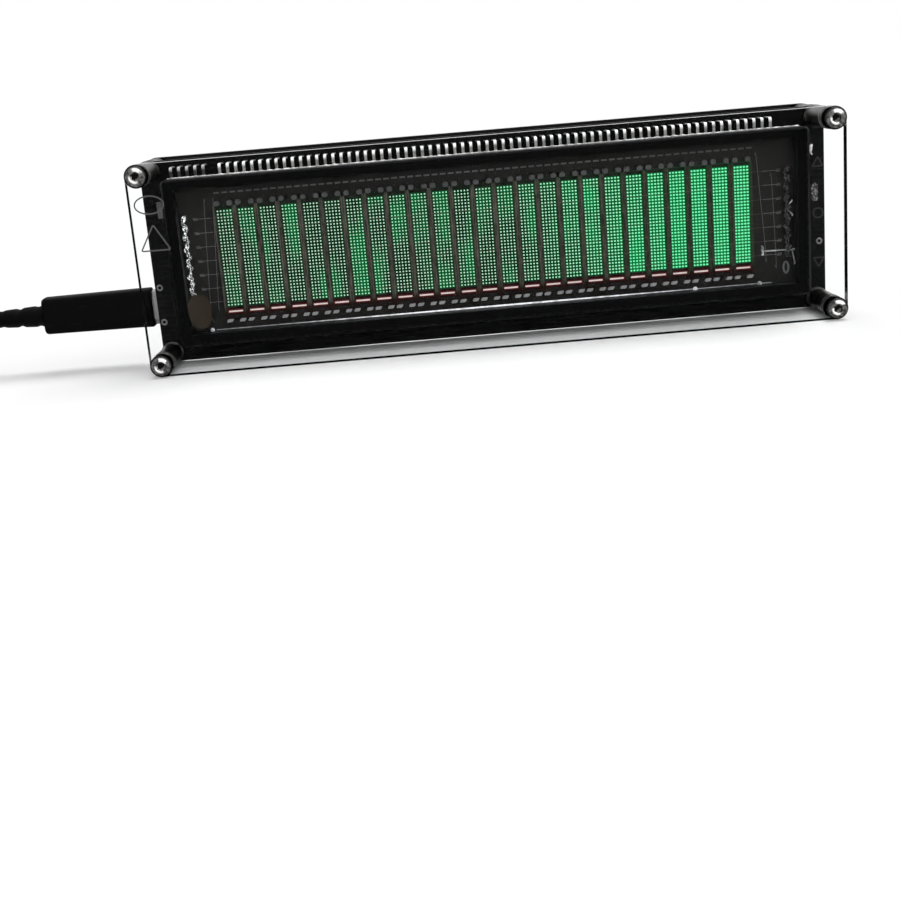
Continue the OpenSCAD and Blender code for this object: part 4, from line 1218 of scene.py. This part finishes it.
class DISPLAY_OT_fixings(PieceOperator):
    """Domed screws with hexagon sockets and turned spacers at the four corners."""

    bl_idname = "display.fixings"
    bl_label = "Screws and spacers"

    # Profiles are rows of radius and height
    thread_radii = (1.36, 1.5)
    half_pitch = 0.25
    head_foot = ((1.5, -0.01), (2.62, 0.0), (2.75, 0.1))
    dome_middle, dome_size = (1.32, 0.34), (1.43, 1.15)
    socket = ((1.24, 1.49), (1.0, 1.40), (0.99, 0.45), (0.35, 0.28))
    socket_hexagon = (0.0, 1.0, 1.0, 0.3)
    spacer_end = ((2.55, 0), (2.75, 0.2), (2.75, 1.0), (2.5, 1.1), (2.5, 1.5), (2.75, 1.6),
                  (2.75, 2.2), (2.62, 2.3))
    bore_radius = 1.62
    stud_root = 0.5
    sides = 48
    stud_sides = 32

    def thread(self, count, start):
        """Radii that go in and out at every half pitch."""
        turns = np.arange(count)
        return np.column_stack([np.array(self.thread_radii)[turns % 2],
                                start + turns * self.half_pitch])

    def screw(self, axes, reach):
        """Turned profile: threaded shank, round head, and a socket that narrows from a circle into
        a hexagon."""
        dome = np.array(self.dome_middle) + self.dome_size * quarter_bow(9)
        shank = self.thread(int(reach / self.half_pitch), -reach)
        profile = np.vstack([shank, self.head_foot, dome, self.socket])
        hexagon = np.zeros(len(profile))
        hexagon[-len(self.socket):] = self.socket_hexagon
        return turned(profile, self.sides, axes, hexagon)

    def spacer(self, length):
        """Turned ring: outer face with a groove near each end, chamfered ends, and a bore."""
        end = np.array(self.spacer_end)
        bore = [(self.bore_radius, z) for z in (length, length / 2, 0)]
        outer = np.vstack([end, end[::-1] * (1, -1) + (0, length)])
        return turned(np.vstack([outer, bore]), self.sides, BACK, wrap=True)

    def execute(self, context):
        reach = node_box("front_screws")[1][1] - PANEL_LOW[1]
        steel, grey = bright_steel(), turned_metal()
        put("front_screw_set", [copies(self.screw(FRONT, reach), at_screws(PANEL_LOW[1]))], steel,
            ("front_screws",))
        put("rear_screw_set", [copies(self.screw(BACK, reach), at_screws(REAR_HIGH[1]))], steel,
            ("rear_screws",))
        length = node_box("front_spacers")[1][1] - BOARD_FACE + self.stud_root
        stud = turned(self.thread(int(length / self.half_pitch) + 1, 0.0), self.stud_sides, BACK)
        front = [copies(self.spacer(BOARD_FACE - PANEL_HIGH[1]), at_screws(PANEL_HIGH[1])),
                 copies(stud, at_screws(BOARD_FACE - self.stud_root))]
        put("front_spacer_set", front, grey, ("front_spacers",))
        rear = [copies(self.spacer(REAR_LOW[1] - BOARD_BACK), at_screws(BOARD_BACK))]
        put("rear_spacer_set", rear, grey, ("rear_spacers",))
        return {"FINISHED"}


class DISPLAY_OT_tube(PieceOperator):
    """Glass of the tube and the traces on its rear glass."""

    bl_idname = "display.tube"
    bl_label = "Tube glass"

    glass_edge, back_edge, foam_edge = 0.45, 0.3, 0.2
    dash_size, dash_lift, dash_bevel = (1.45, 0.42, 0.1), 0.06, 0.03
    dash_range, dash_pitch, dash_z = (-66.5, 66.0), 2.0, 42.2
    line_half, line_points, line_radius = 70.5, 283, 0.17
    line_z, line_lift = 8.3, 0.05
    spot_x = (-71.6, 51.0, 67.4)
    spot_size, spot_tip = (0.55, 0.35), 0.02

    def execute(self, context):
        glass = dress("front_glass", tube_glass(), self.glass_edge)
        glass.visible_shadow = False
        dress("seal_frame", sealing_glass())
        dress("rear_glass", tube_back(), self.back_edge)
        dress("foam_strips", dark_foam(), self.foam_edge)
        dash = plate(rectangle(*self.dash_size, 2), self.dash_lift, self.dash_bevel)
        x = np.arange(*self.dash_range, self.dash_pitch)
        put("contact_dashes", [copies(dash, spread(x, TUBE_FACE, self.dash_z))], tab_metal(0.14))
        self.edge_line()
        return {"FINISHED"}

    def edge_line(self):
        """Conductor along the lower edge with painted glints, a round profile along X that swells
        in the middle, and low domes on the same line, a quarter circle turned."""
        x = np.linspace(-self.line_half, self.line_half, self.line_points)
        swell = 0.5 + 0.75 * np.exp(-((x - 2) / 38) ** 2) + 0.08 * np.sin(x * 3.1)
        line = sweep(spread(x, TUBE_FACE - self.line_lift, self.line_z),
                     circle(self.line_radius, 10), (0, 0, 1), scale=swell)
        dome = turned(self.spot_size * quarter_bow(6) + (self.spot_tip, 0), 20, FRONT)
        spots = copies(dome, spread(self.spot_x, TUBE_FACE, self.line_z))
        # Painted glints and glow on the conductor and its domes.
        put("edge_conductor", [line], gleam(0.85, 60.0))
        put("edge_spots", [spots], gleam(0.5))


class DISPLAY_OT_dots(PieceOperator):
    """Lit dots on the columns and lit bars below them."""

    bl_idname = "display.dots"
    bl_label = "Lit dots and bars"

    dot_sides, dot_lift = 8, 0.05
    bar_size, bar_lift = (3.5, 0.38, 0.12), 0.05
    halo_size, halo_lift = (4.4, 1.8, 0.3), 0.03

    def execute(self, context):
        look = context.scene.tube_looks
        dress("display_columns", phosphor_ground())
        dress("column_bars", bar_ground())
        count, margin = look.dots_across, look.row_margin / MM
        across = (np.arange(count) - (count - 1) / 2) * (look.dot_pitch / MM)
        rows = np.linspace(COLUMN_LOW[2] + margin, COLUMN_HIGH[2] - margin, look.dot_rows)
        x, z = np.meshgrid(across, rows)
        places = spread(x, COLUMN_LOW[1], z)
        dot = circle(look.dot_size / MM / 2 / math.cos(math.pi / self.dot_sides), self.dot_sides)
        growth = look.dot_growth * np.clip(COLUMN_X / COLUMN_X[-1], 0, 1)
        parts = [copies(plate(dot * (1 + more, 1 + more / 3), self.dot_lift),
                        places + (middle, 0, 0)) for middle, more in zip(COLUMN_X, growth)]
        put("lit_dots", parts, phosphor_dots(tuple(look.left_glow), tuple(look.right_glow)))
        bar = plate(rectangle(*self.bar_size, 2), self.bar_lift)
        put("lit_bars", [copies(bar, spread(COLUMN_X, BAR_LOW[1], BAR_Z))],
            bar_core(tuple(look.bar_glow)))
        halo = plate(rectangle(*self.halo_size), self.halo_lift)
        put("bar_halos", [copies(halo, spread(COLUMN_X, TUBE_FACE, BAR_Z))], bar_ground())
        return {"FINISHED"}


class DISPLAY_OT_electrodes(PieceOperator):
    """Grids with their tabs, heated wires with their springs, end supports and the getter."""

    bl_idname = "display.electrodes"
    bl_label = "Inside of the tube"

    # Grids: upright sheets beside the columns, rails across them, and tabs
    side_x, side_width = 2.28, 0.72
    rail_size = (5.2, 0.24)
    sheet, sheet_corner = 0.1, 0.05
    frame_ends = (0.95, 1.2)
    tab_x, tab_over, tab_bevel = 1.6, 0.05, 0.08
    low_tab, low_tab_rise = (1.45, 0.85, 0.25), 0.45
    high_tab, high_tab_drop = (1.4, 1.25, 0.45), 0.6
    tab_slant = ((1.0, 0.0), (0.5, 1.0))

    # Wires: their number, radius and the coil and tail at their ends, from the end inwards
    wire_count, wire_inset, wire_radius = 7, 0.075, 0.022
    wire_start, wire_points = 3.2, 60
    coil_start, coil_length, coil_radius, coil_turns = 0.9, 1.1, 0.32, 3
    tail_ends = (1.9, 5.4)
    spring_radius = 0.06

    # Thin rods from foot to tip, as places along X and Z, and brackets as points of X, lift and Z
    uprights = (((-71.1, 15.0), (-69.6, 40.3)), ((-69.1, 14.0), (-67.4, 40.3)),
                ((68.9, 14.5), (66.9, 40.3)), ((71.4, 12.6), (70.6, 35.0)),
                ((-70.9, 10.4), (-73.0, 16.6)))
    rod_radius, rod_lifts, rod_rise = 0.08, (1.3, 1.5), 0.3
    brackets = ((60, ((68.1, 0, 16.9), (68.2, 1.4, 16.6), (72.0, 1.5, 16.5), (75.9, 1.4, 16.4),
                      (76.1, 0, 16.4))),
                (30, ((75.4, 1.4, 16.3), (75.8, 1.4, 14.4), (76.2, 0.9, 12.9), (76.3, 0, 12.6))),
                (24, ((76.0, 0, 28.6), (75.6, 1.2, 28.4), (75.0, 1.3, 27.9), (75.1, 0, 27.4))),
                (24, ((75.0, 0, 26.0), (75.1, 1.3, 25.8), (75.7, 1.2, 25.1), (76.0, 0, 24.7))))
    bracket_radius = 0.15
    bracket_head = ((68.2, 0, 15.5), (68.1, 1.4, 15.7), (68.0, 1.5, 16.6), (68.1, 1.4, 17.4),
                    (68.2, 0, 17.6))
    head_radius = 0.22

    # Getter: the loop's place in its node, half sizes and radius, its leg, and the film's half
    # sizes and place
    loop_x, loop_half, loop_radius, loop_lift = 1.0, (0.65, 1.4), 0.25, 0.3
    leg_rises, leg_radius = (0.1, 0.35, 0.6), 0.2
    film_half, film_shift, film_gap, film_depth = (2.95, 4.4), (-0.35, -1.6), 0.06, 0.05

    def execute(self, context):
        self.frames()
        self.tabs()
        self.wires()
        self.strips()
        self.rods()
        self.getter()
        return {"FINISHED"}

    def beside(self, offset):
        """Places along X at both sides of every column."""
        return (COLUMN_X[:, None] + np.array([-offset, offset])).ravel()

    def frames(self):
        """Grid frames: upright sheets that fill the gaps beside the columns and a rail across both
        ends, each an outline drawn out to a thin plate."""
        low, high = GRID_LOW[2] + self.frame_ends[0], GRID_HIGH[2] - self.frame_ends[1]
        face = GRID_LOW[1] + self.sheet
        side, rail = (plate(rectangle(*size, self.sheet_corner, 1), self.sheet)
                      for size in ((self.side_width, high - low), self.rail_size))
        parts = [copies(side, spread(self.beside(self.side_x), face, (low + high) / 2))]
        parts += [copies(rail, spread(COLUMN_X, face, z)) for z in (low, high)]
        put("grid_frames", parts, grid_metal(), ("control_grids",))

    def tabs(self):
        """Rounded tabs at both ends of every grid, on the rear glass and carrying the frames."""
        x, height = self.beside(self.tab_x), TUBE_FACE - GRID_LOW[1] + self.tab_over
        low = plate(rectangle(*self.low_tab) @ np.array(self.tab_slant), height, self.tab_bevel)
        high = plate(rectangle(*self.high_tab), height, self.tab_bevel)
        for name, tab, z, level in (("lower_tabs", low, GRID_LOW[2] + self.low_tab_rise, 0.45),
                                    ("upper_tabs", high, GRID_HIGH[2] - self.high_tab_drop, 0.10)):
            put(name, [copies(tab, spread(x, TUBE_FACE, z))], tab_metal(level))

    def wires(self):
        """Heated wires across the tube, each with a small coil spring at both ends: straight paths
        and helices with a round profile."""
        left, right, y = WIRE_LOW[0], WIRE_HIGH[0], (WIRE_LOW[1] + WIRE_HIGH[1]) / 2
        heights = np.linspace(WIRE_LOW[2] + self.wire_inset, WIRE_HIGH[2] - self.wire_inset,
                              self.wire_count)
        places = spread(0, 0, heights)
        across = np.linspace(left + self.wire_start, right - self.wire_start, self.wire_points)
        wire = spread(across, y, 0)
        turn = np.linspace(0, self.coil_turns * 2 * np.pi, 46)
        coil = spread(left + self.coil_start + self.coil_length * turn / turn[-1],
                      y + self.coil_radius * np.cos(turn), self.coil_radius * np.sin(turn))
        tail = spread(np.linspace(*(left + np.array(self.tail_ends)), 6), y, 0)
        up, mirror = (0.13, 0.31, 1.0), (-1, 1, 1)
        put("heated_wires", [copies(sweep(wire, circle(self.wire_radius, 6), up), places)],
            hot_wire(), ("filaments",))
        springs = [sweep(line, circle(self.spring_radius, 6), up)
                   for line in (coil, tail, coil * mirror, tail * mirror)]
        put("wire_springs", [copies(s, places) for s in springs], tab_metal(0.28))

    def strips(self):
        """Crumpled strips at both ends, whose height over the rear glass is a sum of waves in both
        directions."""
        parts = []
        for node in ("filament_anchor", "filament_tensioner"):
            low, high = node_box(node)
            v, u = np.meshgrid(np.linspace(0, 1, 150), np.linspace(0, 1, 17), indexing="ij")
            z = low[2] + (high[2] - low[2]) * v
            lift = (0.26 * np.sin(z * 5.1 + u * 4.0) + 0.2 * np.sin(z * 8.7 - u * 7.3 + 1.3)
                    + 0.16 * np.sin(z * 3.3 + u * 11.0 + low[0]))
            wander = 0.22 * np.sin(z * 1.9) + 0.12 * np.sin(z * 4.7 + 1.0) - 0.35
            width = (high[0] - low[0]) * (0.30 + 0.10 * np.sin(z * 2.6 + 0.7))
            x = (low[0] + high[0]) / 2 + (u - 0.5) * width + wander
            top = np.stack([x, low[1] + 0.55 + lift, z], -1)
            base = np.stack([x, np.full_like(x, TUBE_FACE), z], -1)
            parts.append(skin(np.concatenate([top, base[:, ::-1]], 1)))
        put("end_supports", parts, foil(), ("filament_anchor", "filament_tensioner"))

    def lifted(self, points, count):
        """Curve through points of X, lift over the rear glass, and Z."""
        return through(np.array(points) * (1.0, -1, 1) + (0, TUBE_FACE, 0), count)

    def rods(self):
        """Thin wires and brackets beside the strips: round profiles along curves whose ends go back
        to the rear glass."""
        edge, top = self.rod_lifts
        lines = [self.lifted([(x0, 0, z0), (x0, edge, z0 + self.rod_rise),
                              (x0 + (x1 - x0) / 2, top, (z0 + z1) / 2),
                              (x1, edge, z1 - self.rod_rise), (x1, 0, z1)], 40)
                 for (x0, z0), (x1, z1) in self.uprights]
        rods = [sweep(line, circle(self.rod_radius, 8), (1, 0.1, 0.1)) for line in lines]
        put("support_wires", rods, tab_metal(0.16))
        parts = [sweep(self.lifted(points, count), circle(self.bracket_radius, 8), (0.2, 0.1, 1))
                 for count, points in self.brackets]
        parts.append(sweep(self.lifted(self.bracket_head, 40), circle(self.head_radius, 8),
                           (1, 0.1, 0.1)))
        # Painted glints on the brackets: glow and pale colour.
        put("support_brackets", parts, gleam(0.3))

    def getter(self):
        """Getter: an upright oval wire loop on the rear glass. Its film is on the front glass: a
        slightly uneven outline between an ellipse and a rectangle."""
        low, high = node_box("getter")
        x, face = low[0] + self.loop_x, TUBE_FACE - self.loop_lift
        loop = circle(1.0, 48) * np.array(self.loop_half)
        loop = spread(x + loop[:, 0], face, (low[2] + high[2]) / 2 + loop[:, 1])
        leg = through(spread(x, (TUBE_FACE, face, face), low[2] + np.array(self.leg_rises)), 10)
        put("getter_loop", [sweep(loop, circle(self.loop_radius, 10), (0, 1, 0), closed=True),
                            sweep(leg, circle(self.leg_radius, 8), (1, 0, 0))],
            tab_metal(0.25), ("getter",))
        low, centre = node_box("getter_film")[0], node_middle("getter_film")
        edge = circle(1.0, 60)
        a = np.arange(60) * 2 * np.pi / 60
        wobble = 1 + 0.02 * np.sin(3 * a) + 0.015 * np.sin(7 * a + 1)
        edge = self.film_half * np.sign(edge) * np.abs(edge) ** 0.9 * wobble[:, None]
        place = (centre[0] + self.film_shift[0], low[1] + self.film_gap,
                 centre[2] + self.film_shift[1])
        put("getter_patch", [copies(plate(edge, self.film_depth), place)], getter_film(),
            ("getter_film",))


class DISPLAY_OT_pins(PieceOperator):
    """Flat pins from the tube's upper edge, bent back through the board, with their solder."""

    bl_idname = "display.pins"
    bl_label = "Pins and solder"

    bend = 0.8
    thickness = 0.25
    narrowing = 0.82
    root = 0.3
    width_along, tip_widths = 0.9, (0.85, 0.7, 0.6)
    bead_inset, bead_radius, bead_reach = 1.0, 0.36, 0.45
    bead_points, bead_y, bead_z = 640, -0.05, -0.02

    def execute(self, context):
        """Each pin is a flat profile carried up, round a quarter circle and back."""
        y0 = PIN_LOW[1] + self.thickness / 2
        z1 = PIN_HIGH[2] - self.thickness / 2
        bow = quarter_bow(8)
        rise = np.linspace(PIN_LOW[2] - self.root, z1 - self.bend, 3, endpoint=False)
        back = np.linspace(y0 + self.bend, PIN_HIGH[1], 5)[1:]
        path = np.concatenate([spread(0, y0, rise),
                               spread(0, y0 + self.bend * (1 - bow[:, 0]),
                                      z1 - self.bend + self.bend * bow[:, 1]),
                               spread(0, back, z1)])
        taper = np.full(len(path), self.width_along)
        taper[-len(self.tip_widths):] = self.tip_widths
        profile = rectangle(self.thickness, PIN_WIDTH * self.narrowing, 0.06, 1)
        pin = sweep(path, profile, (1, 0, 0), scale=taper)
        put("bent_pins", [copies(pin, spread(PIN_X, 0, 0))], pin_metal(), ("display_pins",))
        self.solder(z1)
        self.rim_bead()
        return {"FINISHED"}

    def solder(self, z):
        """Solder fillets behind the board: a turned profile that narrows from pad to pin."""
        s = np.linspace(0, 1, 6)
        fillet = np.column_stack([0.78 - 0.50 * s ** 0.6, 0.02 + 0.85 * s ** 1.6])
        shape = np.vstack([[(0.80, -0.02), (0.82, 0.0)], fillet])
        fillets = copies(turned(shape, 12, BACK), spread(PIN_X, BOARD_BACK, z))
        put("pin_solder", [fillets], tin(0.48))

    def rim_bead(self):
        """Uneven bead of sealing glass along the tube's upper edge, where the pins leave it: a
        round profile along X that swells at every pin."""
        x = np.linspace(GLASS_LOW[0] + self.bead_inset, GLASS_HIGH[0] - self.bead_inset,
                        self.bead_points)
        near = np.exp(-(((x[:, None] - PIN_X[None]) / self.bead_reach) ** 2)).sum(1)
        swell = 0.62 + 0.45 * near + 0.10 * np.sin(x * 2.7) + 0.08 * np.sin(x * 6.1)
        path = spread(x, PIN_LOW[1] + self.bead_y, GLASS_HIGH[2] + self.bead_z)
        # The bead's glints are painted: glow and pale colour.
        put("rim_bead", [sweep(path, circle(self.bead_radius, 10), (0, 0, 1), scale=swell)],
            gleam(0.18))


class DISPLAY_OT_board(PieceOperator):
    """Board with the solder joints that show on its front."""

    bl_idname = "display.board"
    bl_label = "Board"

    # Places are along X and from the panel's middle up, and a profile is rows of radius and height
    ring_profile = ((0.85, -0.02), (0.85, 0.04), (0.7, 0.2), (0.5, 0.18), (0.38, 0.02),
                    (0.38, -0.02))
    ring_places = ((-84.2, -6.1), (-84.2, -14.9), (83.9, -8.4))
    drop_place, drop_half, drop_bow, drop_radius = (81.9, 14.6), 1.3, 0.5, 0.55
    drop_lift = 0.1
    patch_size, patch_place = (1.3, 4.2, 0.3), (-81.6, 13.2)
    rough_size, rough_place = (1.7, 4.6, 0.7, 4), (82.9, 4.0)
    patch_lift, patch_bevel = 0.08, 0.04

    def patch(self, size, place):
        """A low plate with round corners on the board's front."""
        shape = plate(rectangle(*size), self.patch_lift, self.patch_bevel)
        return copies(shape, (place[0], BOARD_FACE, MIDDLE_Z + place[1]))

    def execute(self, context):
        """Rings are turned, and the drop is a round profile that thins out along a bow."""
        dress("main_board", black_board())
        ring = turned(self.ring_profile, 24, FRONT, wrap=True)
        x, rise = np.array(self.ring_places).T
        rings = copies(ring, spread(x, BOARD_FACE, MIDDLE_Z + rise))
        put("front_solder", [rings], tin(0.28))
        t = np.linspace(-1, 1, 17)
        x, rise = self.drop_place
        bow = spread(x + self.drop_bow * t ** 2, BOARD_FACE - self.drop_lift,
                     MIDDLE_Z + rise + self.drop_half * t)
        drop = sweep(bow, circle(self.drop_radius, 10), (0, 1, 0),
                     scale=0.25 + 0.75 * np.cos(t * 1.3 - 0.25) ** 2)
        # Painted glints on the drop: glow and pale colour.
        put("front_drop", [drop], gleam(0.35))
        put("front_patch", [self.patch(self.patch_size, self.patch_place)], tab_metal(0.13))
        put("rough_patch", [self.patch(self.rough_size, self.rough_place)], foil())
        return {"FINISHED"}


class DISPLAY_OT_back_parts(PieceOperator):
    """Parts on the board's back, the socket and the keys."""

    bl_idname = "display.back_parts"
    bl_label = "Parts behind the board"

    key_radius, key_dome, key_tip = 1.7, 1.15, 0.12
    key_collar = (0.55, 0.6)
    ink = 0.04
    line = 0.2

    # Printed outlines as places along X, Z, width and height, and the microphone's ring
    boxes = (((CHIP_X,), CHIP_Z, 9.8, 9.8), (DRIVER_X, DRIVER_Z, 12.8, 12.8),
             ((-62,), 22, 8.7, 8.7), (CAPACITOR_X, CAPACITOR_Z, 7.6, 7.6),
             ((18,), 14, 11.8, 5.6), ((-68,), 36, 7.4, 7.9), ((44,), 18, 16.2, 16.2),
             ((-22.1,), 22.75, 27.4, 6.2))
    ring_x, ring_z, ring_radius = 74, 36, 3.6
    spots, spot_radius = ((-0.6, 27.6), (-52.6, 40.9), (-26.7, 40.9), (23.3, 40.9)), 0.45
    plus_x, plus_z, plus_size = 53.4, 26.0, (1.6, 0.3)

    def execute(self, context):
        black = moulded_plastic(0.016)
        for nodes, look, edge in (
                (("crystal", "key_domes"), tin(0.48), 0.0), (("usb_socket",), tin(0.22), 0.0),
                (("cell_holder", "key_housings"), black, 0.0), (("socket_tongue",), black, 0.1),
                (("capacitor_bases", "regulator"), black, 0.15), (("choke",), ferrite(), 0.2),
                (("controller_chip",), chip_package(CHIP_HALF, (CHIP_X,), CHIP_Z), 0.0),
                (("driver_chips",), chip_package(DRIVER_HALF, DRIVER_X, DRIVER_Z), 0.0),
                (("storage_capacitors",), capacitor_can(), 0.0),
                (("microphone",), can_metal(), 0.15), (("coin_cell",), can_metal(), 0.2),
                (("small_parts",), ceramic(), 0.0)):
            for node in nodes:
                dress(node, look, edge)
        self.keys()
        self.legends()
        return {"FINISHED"}

    def keys(self):
        """Round key caps: a collar, a stem and a domed end, as a profile turned about X."""
        stem, dome = self.key_radius, self.key_dome
        for word in ("up", "enter", "down"):
            node = "key_" + word
            low, high = node_box(node)
            middle = node_middle(node)
            length, collar = high[0] - low[0], (high[1] - low[1]) / 2
            end = quarter_bow(9)[:-1] * (stem, dome) + (0, length - dome)
            foot = [(collar, 0), (collar, self.key_collar[0]), (stem, self.key_collar[1])]
            profile = np.vstack([foot, end, [(self.key_tip, length)]])
            cap = copies(turned(profile, 36, RIGHTWARD), (low[0], middle[1], middle[2]))
            put(node + "_cap", [cap], moulded_plastic(0.03), (node,),
                word + "_key")

    def legends(self):
        """White outlines printed round the parts: a flat profile carried along rounded rectangles
        and a ring, spots at the chips' first legs, and a plus mark at the coin cell."""
        outlines = [(rectangle(w, h, 0.4, 2), x, z) for xs, z, w, h in self.boxes for x in xs]
        outlines.append((circle(self.ring_radius, 40), self.ring_x, self.ring_z))
        parts = [printed_line(edge, (x, BOARD_BACK + self.ink / 2, z), self.line, self.ink)
                 for edge, x, z in outlines]
        x, z = np.array(self.spots).T
        spot = plate(circle(self.spot_radius, 14), self.ink, axes=BACK)
        parts.append(copies(spot, spread(x, BOARD_BACK, z)))
        parts += [copies(plate(rectangle(*size, 0.05, 1), self.ink, axes=BACK),
                         (self.plus_x, BOARD_BACK, self.plus_z))
                  for size in (self.plus_size, self.plus_size[::-1])]
        put("board_legends", parts, white_ink())


class DISPLAY_PT_looks(bpy.types.Panel):
    """Lists the pieces in the sidebar."""

    bl_idname = "DISPLAY_PT_looks"
    bl_label = "Spectrum display"
    bl_space_type = "VIEW_3D"
    bl_region_type = "UI"
    bl_category = "Display"

    def draw(self, context):
        for operator in OPERATORS:
            self.layout.operator(operator.bl_idname)
        for group in GROUPS:
            looks = getattr(context.scene, group)
            for name in looks.bl_rna.properties.keys():
                if name not in ("rna_type", "name"):
                    self.layout.prop(looks, name)


OPERATORS = (DISPLAY_OT_studio, DISPLAY_OT_lead, DISPLAY_OT_panels, DISPLAY_OT_fixings,
             DISPLAY_OT_tube, DISPLAY_OT_dots, DISPLAY_OT_electrodes, DISPLAY_OT_pins,
             DISPLAY_OT_board, DISPLAY_OT_back_parts)
GROUPS = {"stage_looks": StageLooks, "lead_looks": LeadLooks, "tube_looks": TubeLooks}


def register():
    """Registers the settings, the operators and the panel."""
    for name, group in GROUPS.items():
        bpy.utils.register_class(group)
        setattr(bpy.types.Scene, name, PointerProperty(type=group))
    for kind in OPERATORS + (DISPLAY_PT_looks,):
        bpy.utils.register_class(kind)


def unregister():
    """Takes back what register did."""
    for kind in (DISPLAY_PT_looks,) + OPERATORS[::-1]:
        bpy.utils.unregister_class(kind)
    for name, group in GROUPS.items():
        delattr(bpy.types.Scene, name)
        bpy.utils.unregister_class(group)


def main():
    """Makes every piece in order."""
    register()
    for operator in OPERATORS:
        family, name = operator.bl_idname.split(".")
        getattr(getattr(bpy.ops, family), name)()
    bpy.context.view_layer.update()


if __name__ == "__main__":
    main()
